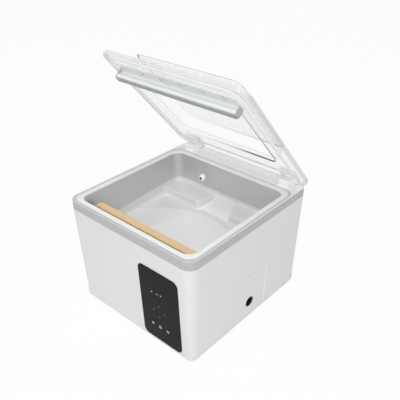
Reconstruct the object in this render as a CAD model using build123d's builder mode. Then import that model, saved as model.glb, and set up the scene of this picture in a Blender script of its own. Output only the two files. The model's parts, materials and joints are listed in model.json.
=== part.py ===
"""Table-top vacuum chamber sealer, modelled open and ready to load.

Origin: under the middle of the body, on the plane its feet stand on.
+X is to the right of someone facing the control panel, +Y points to the rear, +Z is up.
The lid stands open at rest. All lengths are in millimetres.
"""
from build123d import *
from math import atan2, cos, degrees, radians, sin, tan
import os

# ---------------------------------------------------------------- driving dimensions
running_gap = 0.05          # radial play of a pin, rod or shaft in its bore
body_gap = 0.3              # air between pieces that move past each other

foot_height = 8.0
foot_radius = 12.0
foot_inset = 30.0

body_width = 380.0          # over the rim band
body_depth = 412.0
corner_radius = 25.5
shell_height = 254.5
shell_lean = 10.4           # how far each side draws in at the base
shell_wall = 3.0
base_thickness = 2.0
boss_radius = 7.0
boss_sink = 2.0             # how far a boss runs into the leaning wall
screw_radius = 2.0
screw_head_radius = 4.0
screw_head_height = 2.2

rim_height = 21.2
rim_wall = 3.5
ledge_width = 3.5           # flat rim outside the chamber lip
ledge_thickness = 8.0

lip_width = 16.1
lip_height = 3.5
lip_proud = 1.0             # how far the lip stands above the ledge
lip_radius = 24.0
lip_front = 3.5 + 16.1      # chamber mouth's front edge, from the body's front

chamber_width = 341.0
rear_ledge = 67.6           # chamber mouth's rear edge, from the body's rear
chamber_height = 104.7      # ledge top to chamber floor
wall_draft = 1.0            # how far the chamber's upright walls draw in
pan_height = 25.0           # the chamber's lower part, where the walls lean
pan_lean = 4.5
tub_wall = 2.5
floor_round = 4.0
shelf_depth = 60.0          # rear shelf, from the foot of its front face to the back wall
shelf_front_height = 19.5
shelf_back_height = 24.0
shelf_front_lean = 4.5
channel_middle = -8.0       # middle of the ramp between the shelf's two halves
channel_front = 122.0       # width between the shelf's two halves at their tops
channel_waist = 84.0
channel_back = 58.0
channel_draft = 22.0        # angle of the ramp's side walls
ramp_back_height = 22.0

nozzle_x = -79.0
nozzle_drop = 45.5          # below the ledge top
nozzle_radius = 7.0
nozzle_reach = 12.0
nozzle_bore = 3.0
hose_radius = 6.0

seal_bar_inset = 40.4       # its middle, behind the chamber mouth's front edge
seal_bar_length = 314.0
seal_bar_width = 16.0
seal_bar_height = 24.0
seal_bar_drop = 27.0        # ledge top to the top of the bar
cover_thickness = 0.4
cover_skirt = 12.0
band_width = 5.0
band_thickness = 0.3
rod_spacing = 210.0
rod_radius = 4.0
cylinder_radius = 12.0
cylinder_height = 38.0

open_angle = 49.2
hinge_inset = 13.5          # hinge axis, ahead of the body's rear face
hinge_rise = 6.8            # hinge axis, above the ledge
hinge_spacing = 300.0
hinge_pin_radius = 3.0
hinge_eye_radius = 6.3
block_width = 28.0
block_depth = 40.0
block_height = 16.0
block_round = 8.0
block_back = 7.5            # block's rear face, behind the hinge axis
bridge_clearance = 1.0
ear_width = 6.0
ear_gap = 0.5
clevis_bridge = 6.0

lid_width = 400.0
lid_front_inset = 3.0       # lid's front edge, behind the body's front face when closed
lid_back_reach = 3.5
lid_drop = 3.5              # lid's underside, below the hinge axis
lid_thickness = 13.0
lid_radius = 25.0
lid_edge_round = 3.0
window_width = 294.0        # opening in the lid frame
window_front_inset = 36.4   # its edges, inside the chamber's mouth
window_back_inset = 35.4
window_radius = 16.0
dome_height = 27.0
dome_wall = 3.5
dome_lean = 4.0
dome_width = 308.0
dome_front_inset = 15.9     # the raised window's edges, inside the chamber's mouth
dome_back_inset = 27.9
dome_radius = 26.0
dome_flange = 7.0
dome_flange_height = 2.5
gasket_width = 13.0
gasket_height = 2.0
gasket_inset = 1.5          # gasket's inner edge, outside the chamber's mouth

bar_length = 333.0
bar_flange_reach = 30.5     # counter bar's screw flange, ahead of the seal bar's middle
bar_web_reach = 10.5        # its web, behind the seal bar's middle
bar_flange_corner = 6.0
bar_screw_inset = 7.0       # screws, behind the flange's front edge
bar_flange_thickness = 3.0
bar_height = 22.5
bar_nose_reach = 2.5        # counter bar's nose, ahead of the silicone strip
bar_round = 5.5             # how far the nose draws in towards its foot
bar_cove_depth = 5.0        # how far the soft cove runs in behind the nose
bar_cove_height = 10.0
strip_width = 12.0
strip_height = 2.5
end_cap_thickness = 3.0
bar_screw_count = 6
bar_screw_pitch = 56.0

panel_middle = 93.0         # middle of the control panel along X
panel_width = 116.0
panel_low = 7.0             # up the front face from its lower edge
panel_height = 202.0
panel_radius = 14.0
panel_thickness = 1.6
panel_margin = 10.0         # overlay's overlap on the shell all round
keys_middle = 90.0
key_level = 52.0
key_pitch = 23.0
key_radius = 6.5
key_flange = 1.5
key_proud = 0.6
key_travel = 0.5
lamp_level = 97.0
lamp_ring = 16.0
lamp_radius = 2.2
board_thickness = 1.6
spacer_length = 4.0
spacer_radius = 3.0
relay_size = (40.0, 30.0)
relay_rise = 40.0           # its middle, above the panel's
chip_size = (24.0, 18.0)
chip_place = (-20.0, -60.0) # its middle, from the panel's
board_part_height = 12.0

hatch_middle = 4.5          # along Y
hatch_width = 119.0
hatch_height = 127.0
hatch_radius = 3.0
hatch_thickness = 2.7
hatch_seam = 0.5
hatch_ledge = 8.0
hatch_ledge_thickness = 2.5
hatch_hole_offset = -2.5
hatch_hole_level = 46.0
hatch_hole_radius = 13.5
grommet_wall = 2.5
peg_radius = 2.5

service_width = 220.0       # rear service panel
service_height = 130.0
service_level = 80.0
service_thickness = 1.5
service_margin = 10.0
vent_length = 120.0
vent_width = 4.0
vent_pitch = 10.0
vent_count = 9
vent_middle = 35.0
power_middle = -75.0
inlet_level = 55.0
inlet_width = 24.5
inlet_opening = 16.5
inlet_depth = 17.0
inlet_wall = 1.5
inlet_flange = 2.0
switch_level = 105.0
rocker_length = 22.0
rocker_width = 16.0
rocker_throw = 18.0
rocker_face = 3.0           # pivot to the rocker's pressed face
rocker_pin_radius = 1.5
bezel_height = 1.5

pump_y = 4.0                # pump and motor stand on one axis along X
pump_z = 78.0
motor_radius = 46.0
motor_back = -70.0
motor_front = 50.0
motor_fins = 9
mount_spacing = (70.0, 70.0)
mount_top_z = 24.0
shaft_radius = 6.0
shaft_sink = 25.0           # how far the fan's shaft runs into the motor
shaft_end = 4.0             # its end, behind the motor's back
fan_hub_radius = 14.0
fan_width = 12.0
fan_blades = 7
cowl_wall = 1.5
pump_length = 60.0
case_length = 42.0
port_radius = 4.5
inlet_port_z = 100.0
filter_radius = 17.0
filter_height = 46.0

transformer_x = -125.0
transformer_inset = 122.0   # its middle, ahead of the body's rear face
transformer_foot = 4.0
core_size = (72.0, 60.0)
core_stack = 34.0
core_leg = 24.0
core_window = (12.0, 36.0)

valve_x = -10.0
valve_inset = 51.0          # its middle, ahead of the body's rear face
valve_size = (50.0, 36.0, 44.0)
hose_bore = 4.0

# ---------------------------------------------------------------- levels and planes worked out
base_z = foot_height
rim_low_z = base_z + shell_height
ledge_z = rim_low_z + rim_height
floor_z = ledge_z - chamber_height
pan_top_z = floor_z + pan_height
lip_low_z = ledge_z + lip_proud - lip_height
flange_low_z = lip_low_z - tub_wall
inside_z = base_z + base_thickness
draft = degrees(atan2(shell_lean, shell_height))
front_y = -body_depth / 2
rear_y = body_depth / 2
chamber_front_y = front_y + lip_front
chamber_depth = body_depth - lip_front - rear_ledge
chamber_mid_y = chamber_front_y + chamber_depth / 2
seal_bar_y = chamber_front_y + seal_bar_inset
chamber_back_y = chamber_front_y + chamber_depth
shelf_back_y = chamber_back_y - wall_draft
shelf_front_y = shelf_back_y - shelf_depth - pan_lean * (1 - shelf_back_height / pan_height)
hinge_y = rear_y - hinge_inset
hinge_z = ledge_z + hinge_rise
lid_front_reach = hinge_y - front_y - lid_front_inset
window_front = hinge_y - chamber_front_y - window_front_inset
window_back = hinge_y - chamber_back_y + window_back_inset
dome_front = hinge_y - chamber_front_y - dome_front_inset
dome_back = hinge_y - chamber_back_y + dome_back_inset
bar_flange_front = hinge_y - seal_bar_y + bar_flange_reach
bar_web_back = hinge_y - seal_bar_y - bar_web_reach
transformer_y = rear_y - transformer_inset
valve_y = rear_y - valve_inset
lid_depth = lid_front_reach + lid_back_reach
lid_mid = (lid_back_reach - lid_front_reach) / 2
lid_under = -lid_drop
lid_top = lid_thickness - lid_drop
lean = radians(draft)
tilt = radians(open_angle)

front_face = Plane(origin=(0, front_y + shell_lean, base_z), x_dir=(1, 0, 0),
                   z_dir=(0, -cos(lean), -sin(lean)))
right_face = Plane(origin=(body_width / 2 - shell_lean, 0, base_z), x_dir=(0, 1, 0),
                   z_dir=(cos(lean), 0, -sin(lean)))
rear_face = Plane(origin=(0, rear_y - shell_lean, base_z), x_dir=(-1, 0, 0),
                  z_dir=(0, cos(lean), -sin(lean)))
# The open lid's own plane: origin on the hinge axis, local Y towards the lid's back edge.
lid = Plane(origin=(0, hinge_y, hinge_z), x_dir=(1, 0, 0), z_dir=(0, sin(tilt), cos(tilt)))
front_out = Axis(front_face.origin, front_face.z_dir)
rear_out = Axis(rear_face.origin, rear_face.z_dir)
lid_up = Axis(lid.origin, lid.z_dir)
lid_back = Axis(lid.origin, lid.y_dir)


def lid_section(x):
    """The plane across the open lid at x: local X runs to the lid's back, local Y away from its underside."""
    origin = lid.origin + Vector(x, 0, 0)
    return Plane(origin=origin, x_dir=lid.y_dir, z_dir=(1, 0, 0))


def side_section(x):
    """The upright plane at x: local X runs to the rear, local Y up."""
    return Plane(origin=(x, 0, 0), x_dir=(0, 1, 0), z_dir=(1, 0, 0))


def rounded_ring(plane, outer, inner, middle, radii, height):
    """Extrude a ring between two rounded rectangles (width, depth) round one middle."""
    with BuildSketch(plane) as ring:
        with Locations(middle):
            RectangleRounded(outer[0], outer[1], radii[0])
            RectangleRounded(inner[0], inner[1], radii[1], mode=Mode.SUBTRACT)
    extrude(ring.sketch, amount=height)


def drafted_block(size, radius, mid_y, levels, inset, mode=Mode.ADD):
    """A rounded block of the given size at its upper level, drawn in by inset on each side at its lower."""
    low, high = levels
    with BuildSketch(Plane.XY.offset(low)) as plan:
        with Locations((0, mid_y)):
            RectangleRounded(size[0] - 2 * inset, size[1] - 2 * inset, radius - inset)
    extrude(plan.sketch, amount=high - low, taper=-degrees(atan2(inset, high - low)), mode=mode)


pieces = []


def finish(builder, label):
    """Label a finished piece and keep it for export."""
    builder.part.label = label
    pieces.append(builder.part)


# ================================================================ body
# ---------------------------------------------------------------- feet and base
foot_x = body_width / 2 - shell_lean - foot_inset
foot_y = body_depth / 2 - shell_lean - foot_inset
with BuildPart() as rubber_feet:
    with BuildSketch():
        with GridLocations(2 * foot_x, 2 * foot_y, 2, 2):
            Circle(foot_radius - 1.5)
    extrude(amount=foot_height, taper=-degrees(atan2(1.5, foot_height)))
finish(rubber_feet, "rubber_feet")

plate_clearance = 0.5
plate_width = body_width - 2 * (shell_lean + shell_wall + plate_clearance)
plate_depth = body_depth - 2 * (shell_lean + shell_wall + plate_clearance)
plate_radius = corner_radius - shell_lean - shell_wall - plate_clearance
boss_x = body_width / 2 - shell_lean - shell_wall - boss_radius + boss_sink
boss_y = body_depth / 2 - shell_lean - shell_wall - boss_radius + boss_sink
with BuildPart() as base_plate:
    with BuildSketch(Plane.XY.offset(base_z)):
        RectangleRounded(plate_width, plate_depth, plate_radius)
        with Locations((70, -boss_y / 2)):
            with GridLocations(0, 9, 1, 7):
                SlotOverall(80, 4, mode=Mode.SUBTRACT)
        with GridLocations(boss_x, 2 * boss_y, 3, 2):
            Circle(screw_radius, mode=Mode.SUBTRACT)
    extrude(amount=base_thickness)
finish(base_plate, "base_plate")

with BuildPart() as base_screws:
    with BuildSketch(Plane.XY.offset(base_z)):
        with GridLocations(boss_x, 2 * boss_y, 3, 2):
            Circle(screw_radius)
    extrude(amount=base_thickness + 8)
    with BuildSketch(Plane.XY.offset(base_z)):
        with GridLocations(boss_x, 2 * boss_y, 3, 2):
            Circle(screw_head_radius)
    extrude(amount=-screw_head_height)
finish(base_screws, "base_screws")

# ---------------------------------------------------------------- body shell
panel_mid_level = panel_low + panel_height / 2
window_size = (panel_width - 2 * panel_margin, panel_height - 2 * panel_margin)
boss_height = 14.0
ledge_low = base_thickness + 1.0
with BuildPart() as body_shell:
    drafted_block((body_width, body_depth), corner_radius, 0, (base_z, rim_low_z), shell_lean)
    drafted_block((body_width - 2 * shell_wall, body_depth - 2 * shell_wall), corner_radius - shell_wall,
                  0, (base_z, rim_low_z), shell_lean, mode=Mode.SUBTRACT)
    # screw bosses along both sides
    with BuildSketch(Plane.XY.offset(inside_z)):
        with GridLocations(boss_x, 2 * boss_y, 3, 2):
            Circle(boss_radius)
            Circle(screw_radius, mode=Mode.SUBTRACT)
    extrude(amount=boss_height)
    # window behind the control panel
    with BuildSketch(front_face):
        with Locations((panel_middle, panel_mid_level)):
            RectangleRounded(*window_size, panel_radius - panel_margin)
    extrude(amount=-shell_wall - 1, mode=Mode.SUBTRACT)
    # window behind the rear service panel
    with BuildSketch(rear_face):
        with Locations((0, service_level)):
            Rectangle(service_width - 2 * service_margin, service_height - 2 * service_margin)
    extrude(amount=-shell_wall - 1, mode=Mode.SUBTRACT)
    # service opening in the right side, open at the bottom edge
    with BuildSketch(right_face):
        with Locations((hatch_middle, hatch_height / 2)):
            RectangleRounded(hatch_width, hatch_height, hatch_radius)
        with Locations((hatch_middle, 0)):
            Rectangle(hatch_width, 2 * hatch_radius + 4)
    extrude(amount=-shell_wall - boss_radius * 2 - 2, mode=Mode.SUBTRACT)
finish(body_shell, "body_shell")

peg_spacing = (hatch_width - hatch_ledge, hatch_height - hatch_ledge - ledge_low - 5)
peg_level = hatch_height - hatch_ledge / 2 - peg_spacing[1] / 2
with BuildPart() as hatch_ledge_frame:
    with BuildSketch(right_face.offset(-shell_wall)):
        with Locations((hatch_middle, (hatch_height + hatch_ledge + ledge_low) / 2)):
            Rectangle(hatch_width + 2 * hatch_ledge, hatch_height + hatch_ledge - ledge_low)
        with Locations((hatch_middle, hatch_height / 2)):
            Rectangle(hatch_width - 2 * hatch_ledge, hatch_height - 2 * hatch_ledge, mode=Mode.SUBTRACT)
        with Locations((hatch_middle, peg_level)):
            with GridLocations(*peg_spacing, 2, 2):
                Circle(peg_radius + running_gap, mode=Mode.SUBTRACT)
    extrude(amount=-hatch_ledge_thickness)
finish(hatch_ledge_frame, "hatch_ledge_frame")

# ---------------------------------------------------------------- top frame and rim band
lip_outer = (chamber_width + 2 * lip_width, chamber_depth + 2 * lip_width)
tub_hole = (chamber_width + 2 * (tub_wall + 0.5), chamber_depth + 2 * (tub_wall + 0.5))
with BuildPart() as top_frame:
    rounded_ring(Plane.XY.offset(rim_low_z), (body_width, body_depth),
                 (body_width - 2 * rim_wall, body_depth - 2 * rim_wall), (0, 0),
                 (corner_radius, corner_radius - rim_wall), rim_height)
    with BuildSketch(Plane.XY.offset(ledge_z - ledge_thickness)):
        RectangleRounded(body_width - rim_wall, body_depth - rim_wall, corner_radius - rim_wall / 2)
    extrude(amount=ledge_thickness)
    with BuildSketch(Plane.XY.offset(flange_low_z)):
        with Locations((0, chamber_mid_y)):
            RectangleRounded(*lip_outer, lip_radius)
    extrude(amount=rim_height, mode=Mode.SUBTRACT)
    with BuildSketch(Plane.XY.offset(rim_low_z)):
        with Locations((0, chamber_mid_y)):
            RectangleRounded(*tub_hole, lip_radius + tub_wall + 0.5)
    extrude(amount=rim_height, mode=Mode.SUBTRACT)
finish(top_frame, "top_frame")

with BuildPart() as chamber_lip:
    rounded_ring(Plane.XY.offset(lip_low_z), lip_outer, (chamber_width, chamber_depth),
                 (0, chamber_mid_y), (lip_radius, lip_radius), lip_height)
    lip_crest = chamber_lip.faces().sort_by(Axis.Z)[-1]
    fillet(lip_crest.edges(), 0.9)
finish(chamber_lip, "chamber_lip")

# ---------------------------------------------------------------- chamber tub
tub_low_z = floor_z - tub_wall
wall_foot = (chamber_width - 2 * wall_draft, chamber_depth - 2 * wall_draft)
foot_radius_inside = lip_radius - wall_draft
shelf_bite = 0.6 * tub_wall
collar_radius = rod_radius + 5.0


def wider(size, margin):
    """A width and depth with a margin on every side."""
    return (size[0] + 2 * margin, size[1] + 2 * margin)


# rear shelf: two blocks with a ramp between them, shaped to the leaning pan and let into its walls
with BuildPart() as chamber_shelf:
    drafted_block(wider(wall_foot, shelf_bite), foot_radius_inside + shelf_bite, chamber_mid_y,
                  (floor_z - tub_wall / 2, pan_top_z), pan_lean)
    with BuildSketch(side_section(-chamber_width / 2)):
        with BuildLine():
            Polyline((shelf_front_y, floor_z - tub_wall), (shelf_front_y, floor_z),
                     (shelf_front_y + shelf_front_lean, floor_z + shelf_front_height),
                     (shelf_back_y + tub_wall, floor_z + shelf_back_height),
                     (shelf_back_y + tub_wall, floor_z - tub_wall), close=True)
        make_face()
    extrude(amount=chamber_width, mode=Mode.INTERSECT)
    with BuildSketch(Plane.XY.offset(pan_top_z)) as channel:
        with Locations((channel_middle, 0)):
            with BuildLine():
                front = shelf_front_y - 2 * pan_height
                waist = (shelf_front_y + shelf_back_y) / 2
                back = shelf_back_y + pan_height
                right_side = ThreePointArc((channel_front / 2, shelf_front_y), (channel_waist / 2, waist),
                                           (channel_back / 2, back))
                left_side = ThreePointArc((-channel_front / 2, shelf_front_y), (-channel_waist / 2, waist),
                                          (-channel_back / 2, back))
                Line(right_side @ 1, left_side @ 1)
                Polyline(right_side @ 0, (channel_front / 2, front), (-channel_front / 2, front), left_side @ 0)
            make_face()
    extrude(amount=-pan_height, taper=channel_draft, mode=Mode.SUBTRACT)
with BuildPart() as ramp:
    with BuildSketch(side_section(channel_middle - channel_front / 2)):
        with BuildLine():
            Polyline((shelf_front_y + 1, floor_z - tub_wall / 2), (shelf_front_y + 1, floor_z),
                     (shelf_back_y + shelf_bite - pan_lean * (1 - ramp_back_height / pan_height),
                      floor_z + ramp_back_height),
                     (shelf_back_y - pan_lean, floor_z - tub_wall / 2), close=True)
        make_face()
    extrude(amount=channel_front)

with BuildPart() as chamber_tub:
    drafted_block(wider(wall_foot, tub_wall), foot_radius_inside + tub_wall, chamber_mid_y,
                  (tub_low_z, pan_top_z), pan_lean)
    drafted_block(wider((chamber_width, chamber_depth), tub_wall), lip_radius + tub_wall, chamber_mid_y,
                  (pan_top_z, flange_low_z), wall_draft)
    # flange under the lip
    with BuildSketch(Plane.XY.offset(flange_low_z)):
        with Locations((0, chamber_mid_y)):
            RectangleRounded(lip_outer[0] - 1, lip_outer[1] - 1, lip_radius)
    extrude(amount=tub_wall)
    drafted_block((chamber_width, chamber_depth), lip_radius, chamber_mid_y, (pan_top_z, lip_low_z),
                  wall_draft, mode=Mode.SUBTRACT)
    drafted_block(wall_foot, foot_radius_inside, chamber_mid_y, (floor_z, pan_top_z), pan_lean,
                  mode=Mode.SUBTRACT)
    floor_edges = chamber_tub.edges().filter_by_position(Axis.Z, floor_z - 0.1, floor_z + 0.1)
    fillet(floor_edges, floor_round)
    add(chamber_shelf.part)
    add(ramp.part)
    # collars that guide the piston rods, and their bores
    with BuildSketch(Plane.XY.offset(floor_z - tub_wall / 2)):
        with Locations((0, seal_bar_y)):
            with GridLocations(rod_spacing, 0, 2, 1):
                Circle(collar_radius)
    extrude(amount=tub_wall / 2 + 6)
    with BuildSketch(Plane.XY.offset(tub_low_z - 1)):
        with Locations((0, seal_bar_y)):
            with GridLocations(rod_spacing, 0, 2, 1):
                Circle(rod_radius + running_gap)
    extrude(amount=tub_wall + 10, mode=Mode.SUBTRACT)
    # hole for the suction fitting
    with BuildSketch(Plane.XZ.offset(-chamber_back_y - 10)):
        with Locations((nozzle_x, ledge_z - nozzle_drop)):
            Circle(nozzle_radius - 2)
    extrude(amount=25, mode=Mode.SUBTRACT)
finish(chamber_tub, "chamber_tub")

# ================================================================ suction and valve
nozzle_z = ledge_z - nozzle_drop
wall_in_y = chamber_back_y - wall_draft * (lip_low_z - nozzle_z) / (lip_low_z - pan_top_z)
with BuildPart() as suction_nozzle:
    with BuildSketch(Plane.XZ.offset(-wall_in_y + 0.6)):
        with Locations((nozzle_x, nozzle_z)):
            Circle(nozzle_radius)
    extrude(amount=nozzle_reach)
    fillet(suction_nozzle.faces().sort_by(Axis.Y)[0].edges(), 2.5)
    with BuildSketch(Plane.XZ.offset(-wall_in_y + 1)):
        with Locations((nozzle_x, nozzle_z)):
            Circle(nozzle_radius - 2)
    extrude(amount=-22)
    with BuildSketch(Plane.XY.offset(nozzle_z - 16)):
        with Locations((nozzle_x, wall_in_y + 21)):
            Circle(nozzle_radius - 1)
    extrude(amount=16 + nozzle_radius)
    with BuildSketch(Plane.XZ.offset(-wall_in_y)):
        with Locations((nozzle_x, nozzle_z)):
            Circle(nozzle_bore)
    extrude(amount=nozzle_reach + 1, mode=Mode.SUBTRACT)
finish(suction_nozzle, "suction_nozzle")

# ================================================================ seal bar and its lift
seal_top_z = ledge_z - seal_bar_drop
bar_top_z = seal_top_z - cover_thickness - band_thickness
bar_low_z = bar_top_z - seal_bar_height
cylinder_top_z = tub_low_z
rod_low_z = cylinder_top_z - cylinder_height + 6

with BuildPart() as seal_bar:
    with BuildSketch(Plane.XY.offset(bar_low_z)):
        with Locations((0, seal_bar_y)):
            RectangleRounded(seal_bar_length, seal_bar_width, 2)
    extrude(amount=seal_bar_height)
finish(seal_bar, "seal_bar")

with BuildPart() as heating_band:
    with BuildSketch(Plane.XY.offset(bar_top_z)):
        with Locations((0, seal_bar_y)):
            Rectangle(seal_bar_length - 8, band_width)
    extrude(amount=band_thickness)
finish(heating_band, "heating_band")

with BuildPart() as seal_bar_cover:
    with BuildSketch(side_section(-seal_bar_length / 2 + 2)):
        with Locations((seal_bar_y, seal_top_z - (cover_skirt + cover_thickness) / 2)):
            Rectangle(seal_bar_width + 2 * cover_thickness, cover_skirt + cover_thickness)
        with Locations((seal_bar_y, bar_top_z + band_thickness - cover_skirt)):
            Rectangle(seal_bar_width, 2 * cover_skirt, mode=Mode.SUBTRACT)
    extrude(amount=seal_bar_length - 4)
finish(seal_bar_cover, "seal_bar_cover")

with BuildPart() as piston_rods:
    with BuildSketch(Plane.XY.offset(rod_low_z)):
        with Locations((0, seal_bar_y)):
            with GridLocations(rod_spacing, 0, 2, 1):
                Circle(rod_radius)
    extrude(amount=bar_low_z - rod_low_z)
finish(piston_rods, "piston_rods")

with BuildPart() as lift_cylinders:
    with BuildSketch(Plane.XY.offset(cylinder_top_z)):
        with Locations((0, seal_bar_y)):
            with GridLocations(rod_spacing, 0, 2, 1):
                Circle(cylinder_radius)
    extrude(amount=-cylinder_height)
    with BuildSketch(Plane.XY.offset(cylinder_top_z)):
        with Locations((0, seal_bar_y)):
            with GridLocations(rod_spacing, 0, 2, 1):
                Circle(rod_radius + running_gap)
    extrude(amount=-(cylinder_height - 6 + body_gap), mode=Mode.SUBTRACT)
finish(lift_cylinders, "lift_cylinders")

# ================================================================ hinges
def hinge_block(side):
    """One hinge block on the rear ledge: a rounded block round its own pin."""
    with BuildPart() as block:
        with BuildSketch(side_section(side * hinge_spacing / 2 - block_width / 2)):
            with Locations((hinge_y + block_back - block_depth / 2, ledge_z + block_height / 2)):
                Rectangle(block_depth, block_height)
        extrude(amount=block_width)
        front_top = block.edges().filter_by(Axis.X).group_by(Axis.Z)[-1]
        fillet(front_top.sort_by(Axis.Y)[0], block_round)
        fillet(front_top.sort_by(Axis.Y)[-1], block_round - 2)
        with BuildSketch(side_section(side * hinge_spacing / 2 - block_width / 2)):
            with Locations((hinge_y, hinge_z)):
                Circle(hinge_pin_radius)
        extrude(amount=block_width, mode=Mode.SUBTRACT)
    return block


finish(hinge_block(-1), "hinge_block_left")
finish(hinge_block(1), "hinge_block_right")

pin_length = block_width + 2 * (ear_gap + ear_width)
with BuildPart() as hinge_pins:
    for side in (-1, 1):
        with BuildSketch(side_section(side * hinge_spacing / 2 - pin_length / 2)):
            with Locations((hinge_y, hinge_z)):
                Circle(hinge_pin_radius)
        extrude(amount=pin_length)
finish(hinge_pins, "hinge_pins")

bridge_front = block_depth - block_back + bridge_clearance + clevis_bridge


def hinge_clevis(side):
    """The lid's half of one hinge: two ears with eyes on a bridge that bolts into the lid's notch."""
    start = side * hinge_spacing / 2 - pin_length / 2
    with BuildPart() as clevis:
        with BuildSketch(lid_section(start)):
            with Locations(((lid_back_reach - bridge_front) / 2, (lid_top + lid_under) / 2)):
                Rectangle(lid_back_reach + bridge_front, lid_thickness - 1)
            Circle(hinge_eye_radius)
            Circle(hinge_pin_radius + running_gap, mode=Mode.SUBTRACT)
        extrude(amount=pin_length)
        with BuildSketch(lid_section(start + ear_width)):
            with Locations((0, 0)):
                Rectangle(2 * (bridge_front - clevis_bridge), 4 * lid_thickness)
        extrude(amount=block_width + 2 * ear_gap, mode=Mode.SUBTRACT)
    return clevis


finish(hinge_clevis(-1), "hinge_clevis_left")
finish(hinge_clevis(1), "hinge_clevis_right")

# ================================================================ lid
window_depth = window_front - window_back
window_mid = -(window_front + window_back) / 2
with BuildPart() as lid_frame:
    with BuildSketch(lid.offset(lid_under)):
        with Locations((0, lid_mid)):
            RectangleRounded(lid_width, lid_depth, lid_radius)
    extrude(amount=lid_thickness)
    fillet(lid_frame.faces().sort_by(lid_up)[-1].edges(), lid_edge_round)
    fillet(lid_frame.faces().sort_by(lid_up)[0].edges(), 1.0)
    with BuildSketch(lid.offset(lid_under)):
        with Locations((0, window_mid)):
            RectangleRounded(window_width, window_depth, window_radius)
        with Locations((0, 0)):
            with GridLocations(hinge_spacing, 0, 2, 1):
                Rectangle(pin_length, 2 * bridge_front)
    extrude(amount=lid_thickness, mode=Mode.SUBTRACT)
finish(lid_frame, "lid_frame")

dome_depth = dome_front - dome_back
dome_mid = -(dome_front + dome_back) / 2


def dome_block(inset, height, mode=Mode.ADD):
    """The window's raised form: a rounded block on the lid that draws in towards its top."""
    with BuildSketch(lid.offset(lid_top)) as plan:
        with Locations((0, dome_mid)):
            RectangleRounded(dome_width - 2 * inset, dome_depth - 2 * inset, dome_radius - inset)
    extrude(plan.sketch, amount=height, taper=degrees(atan2(dome_lean, dome_height)), mode=mode)


with BuildPart() as lid_window:
    dome_block(0, dome_height)
    fillet(lid_window.faces().sort_by(lid_up)[-1].edges(), 5)
    dome_block(dome_wall, dome_height - dome_wall, mode=Mode.SUBTRACT)
    rounded_ring(lid.offset(lid_top), (dome_width + 2 * dome_flange, dome_depth + 2 * dome_flange),
                 (dome_width - 2 * dome_wall, dome_depth - 2 * dome_wall), (0, dome_mid),
                 (dome_radius + dome_flange, dome_radius - dome_wall), dome_flange_height)
finish(lid_window, "lid_window")

mouth_mid = chamber_mid_y - hinge_y
with BuildPart() as lid_gasket:
    inner = (chamber_width + 2 * gasket_inset, chamber_depth + 2 * gasket_inset)
    outer = (inner[0] + 2 * gasket_width, inner[1] + 2 * gasket_width)
    rounded_ring(lid.offset(lid_under), outer, inner, (0, mouth_mid), (lip_radius, lip_radius), -gasket_height)
finish(lid_gasket, "lid_gasket")

bar_mid = seal_bar_y - hinge_y
bar_low = lid_under - bar_height
flange_low = lid_under - bar_flange_thickness


def counter_bar_outline():
    """Outline of the counter bar across its length: screw flange, hollow step and rounded nose."""
    nose = bar_mid - strip_width / 2 - bar_nose_reach
    cove_top = nose + 1
    cove_low = flange_low - bar_cove_height
    with BuildSketch(lid_section(0)) as outline:
        with BuildLine():
            Polyline((nose + bar_round, bar_low), (-bar_web_back, bar_low), (-bar_web_back, lid_under),
                     (-bar_flange_front, lid_under), (-bar_flange_front, flange_low), (cove_top, flange_low))
            ThreePointArc((cove_top, flange_low), (nose + bar_cove_depth, flange_low - 0.45 * bar_cove_height),
                          (nose, cove_low))
            RadiusArc((nose, cove_low), (nose + bar_round, bar_low), -(bar_cove_height - 2))
        make_face()
    return outline.sketch


with BuildPart() as counter_bar:
    extrude(counter_bar_outline(), amount=bar_length / 2, both=True)
    with BuildSketch(lid_section(-bar_length / 2)):
        with Locations((bar_mid + 1, bar_low + 7)):
            Rectangle(strip_width - 2, 8)
        with Locations((bar_mid + 4, bar_low + 16)):
            Rectangle(strip_width / 2, 6)
    extrude(amount=bar_length, mode=Mode.SUBTRACT)
    with BuildSketch(lid.offset(lid_under)):
        with Locations((0, bar_screw_inset - bar_flange_front)):
            with GridLocations(bar_screw_pitch, 0, bar_screw_count, 1):
                Circle(screw_radius)
    extrude(amount=-bar_flange_thickness, mode=Mode.SUBTRACT)
    flange_corners = counter_bar.edges().filter_by(lid_up).sort_by(lid_back)[:2]
    chamfer(flange_corners, bar_flange_corner)
finish(counter_bar, "counter_bar")

with BuildPart() as counter_bar_end_caps:
    for side in (-1, 1):
        with BuildSketch(lid_section(side * (bar_length + end_cap_thickness) / 2)):
            with Locations((bar_mid, (bar_low + flange_low) / 2)):
                RectangleRounded(strip_width + 4, flange_low - bar_low, 3)
        extrude(amount=end_cap_thickness / 2, both=True)
finish(counter_bar_end_caps, "counter_bar_end_caps")

with BuildPart() as counter_bar_strip:
    with BuildSketch(lid_section(-bar_length / 2)):
        with Locations((bar_mid, bar_low - strip_height / 2)):
            RectangleRounded(strip_width, strip_height, 1)
    extrude(amount=bar_length)
finish(counter_bar_strip, "counter_bar_strip")

with BuildPart() as counter_bar_screws:
    with BuildSketch(lid.offset(lid_under)):
        with Locations((0, bar_screw_inset - bar_flange_front)):
            with GridLocations(bar_screw_pitch, 0, bar_screw_count, 1):
                Circle(screw_radius)
    extrude(amount=-bar_flange_thickness)
    with BuildSketch(lid.offset(flange_low)):
        with Locations((0, bar_screw_inset - bar_flange_front)):
            with GridLocations(bar_screw_pitch, 0, bar_screw_count, 1):
                Circle(screw_head_radius)
    extrude(amount=-screw_head_height)
    fillet(counter_bar_screws.faces().sort_by(lid_up)[:bar_screw_count].edges(), 1)
finish(counter_bar_screws, "counter_bar_screws")

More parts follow.
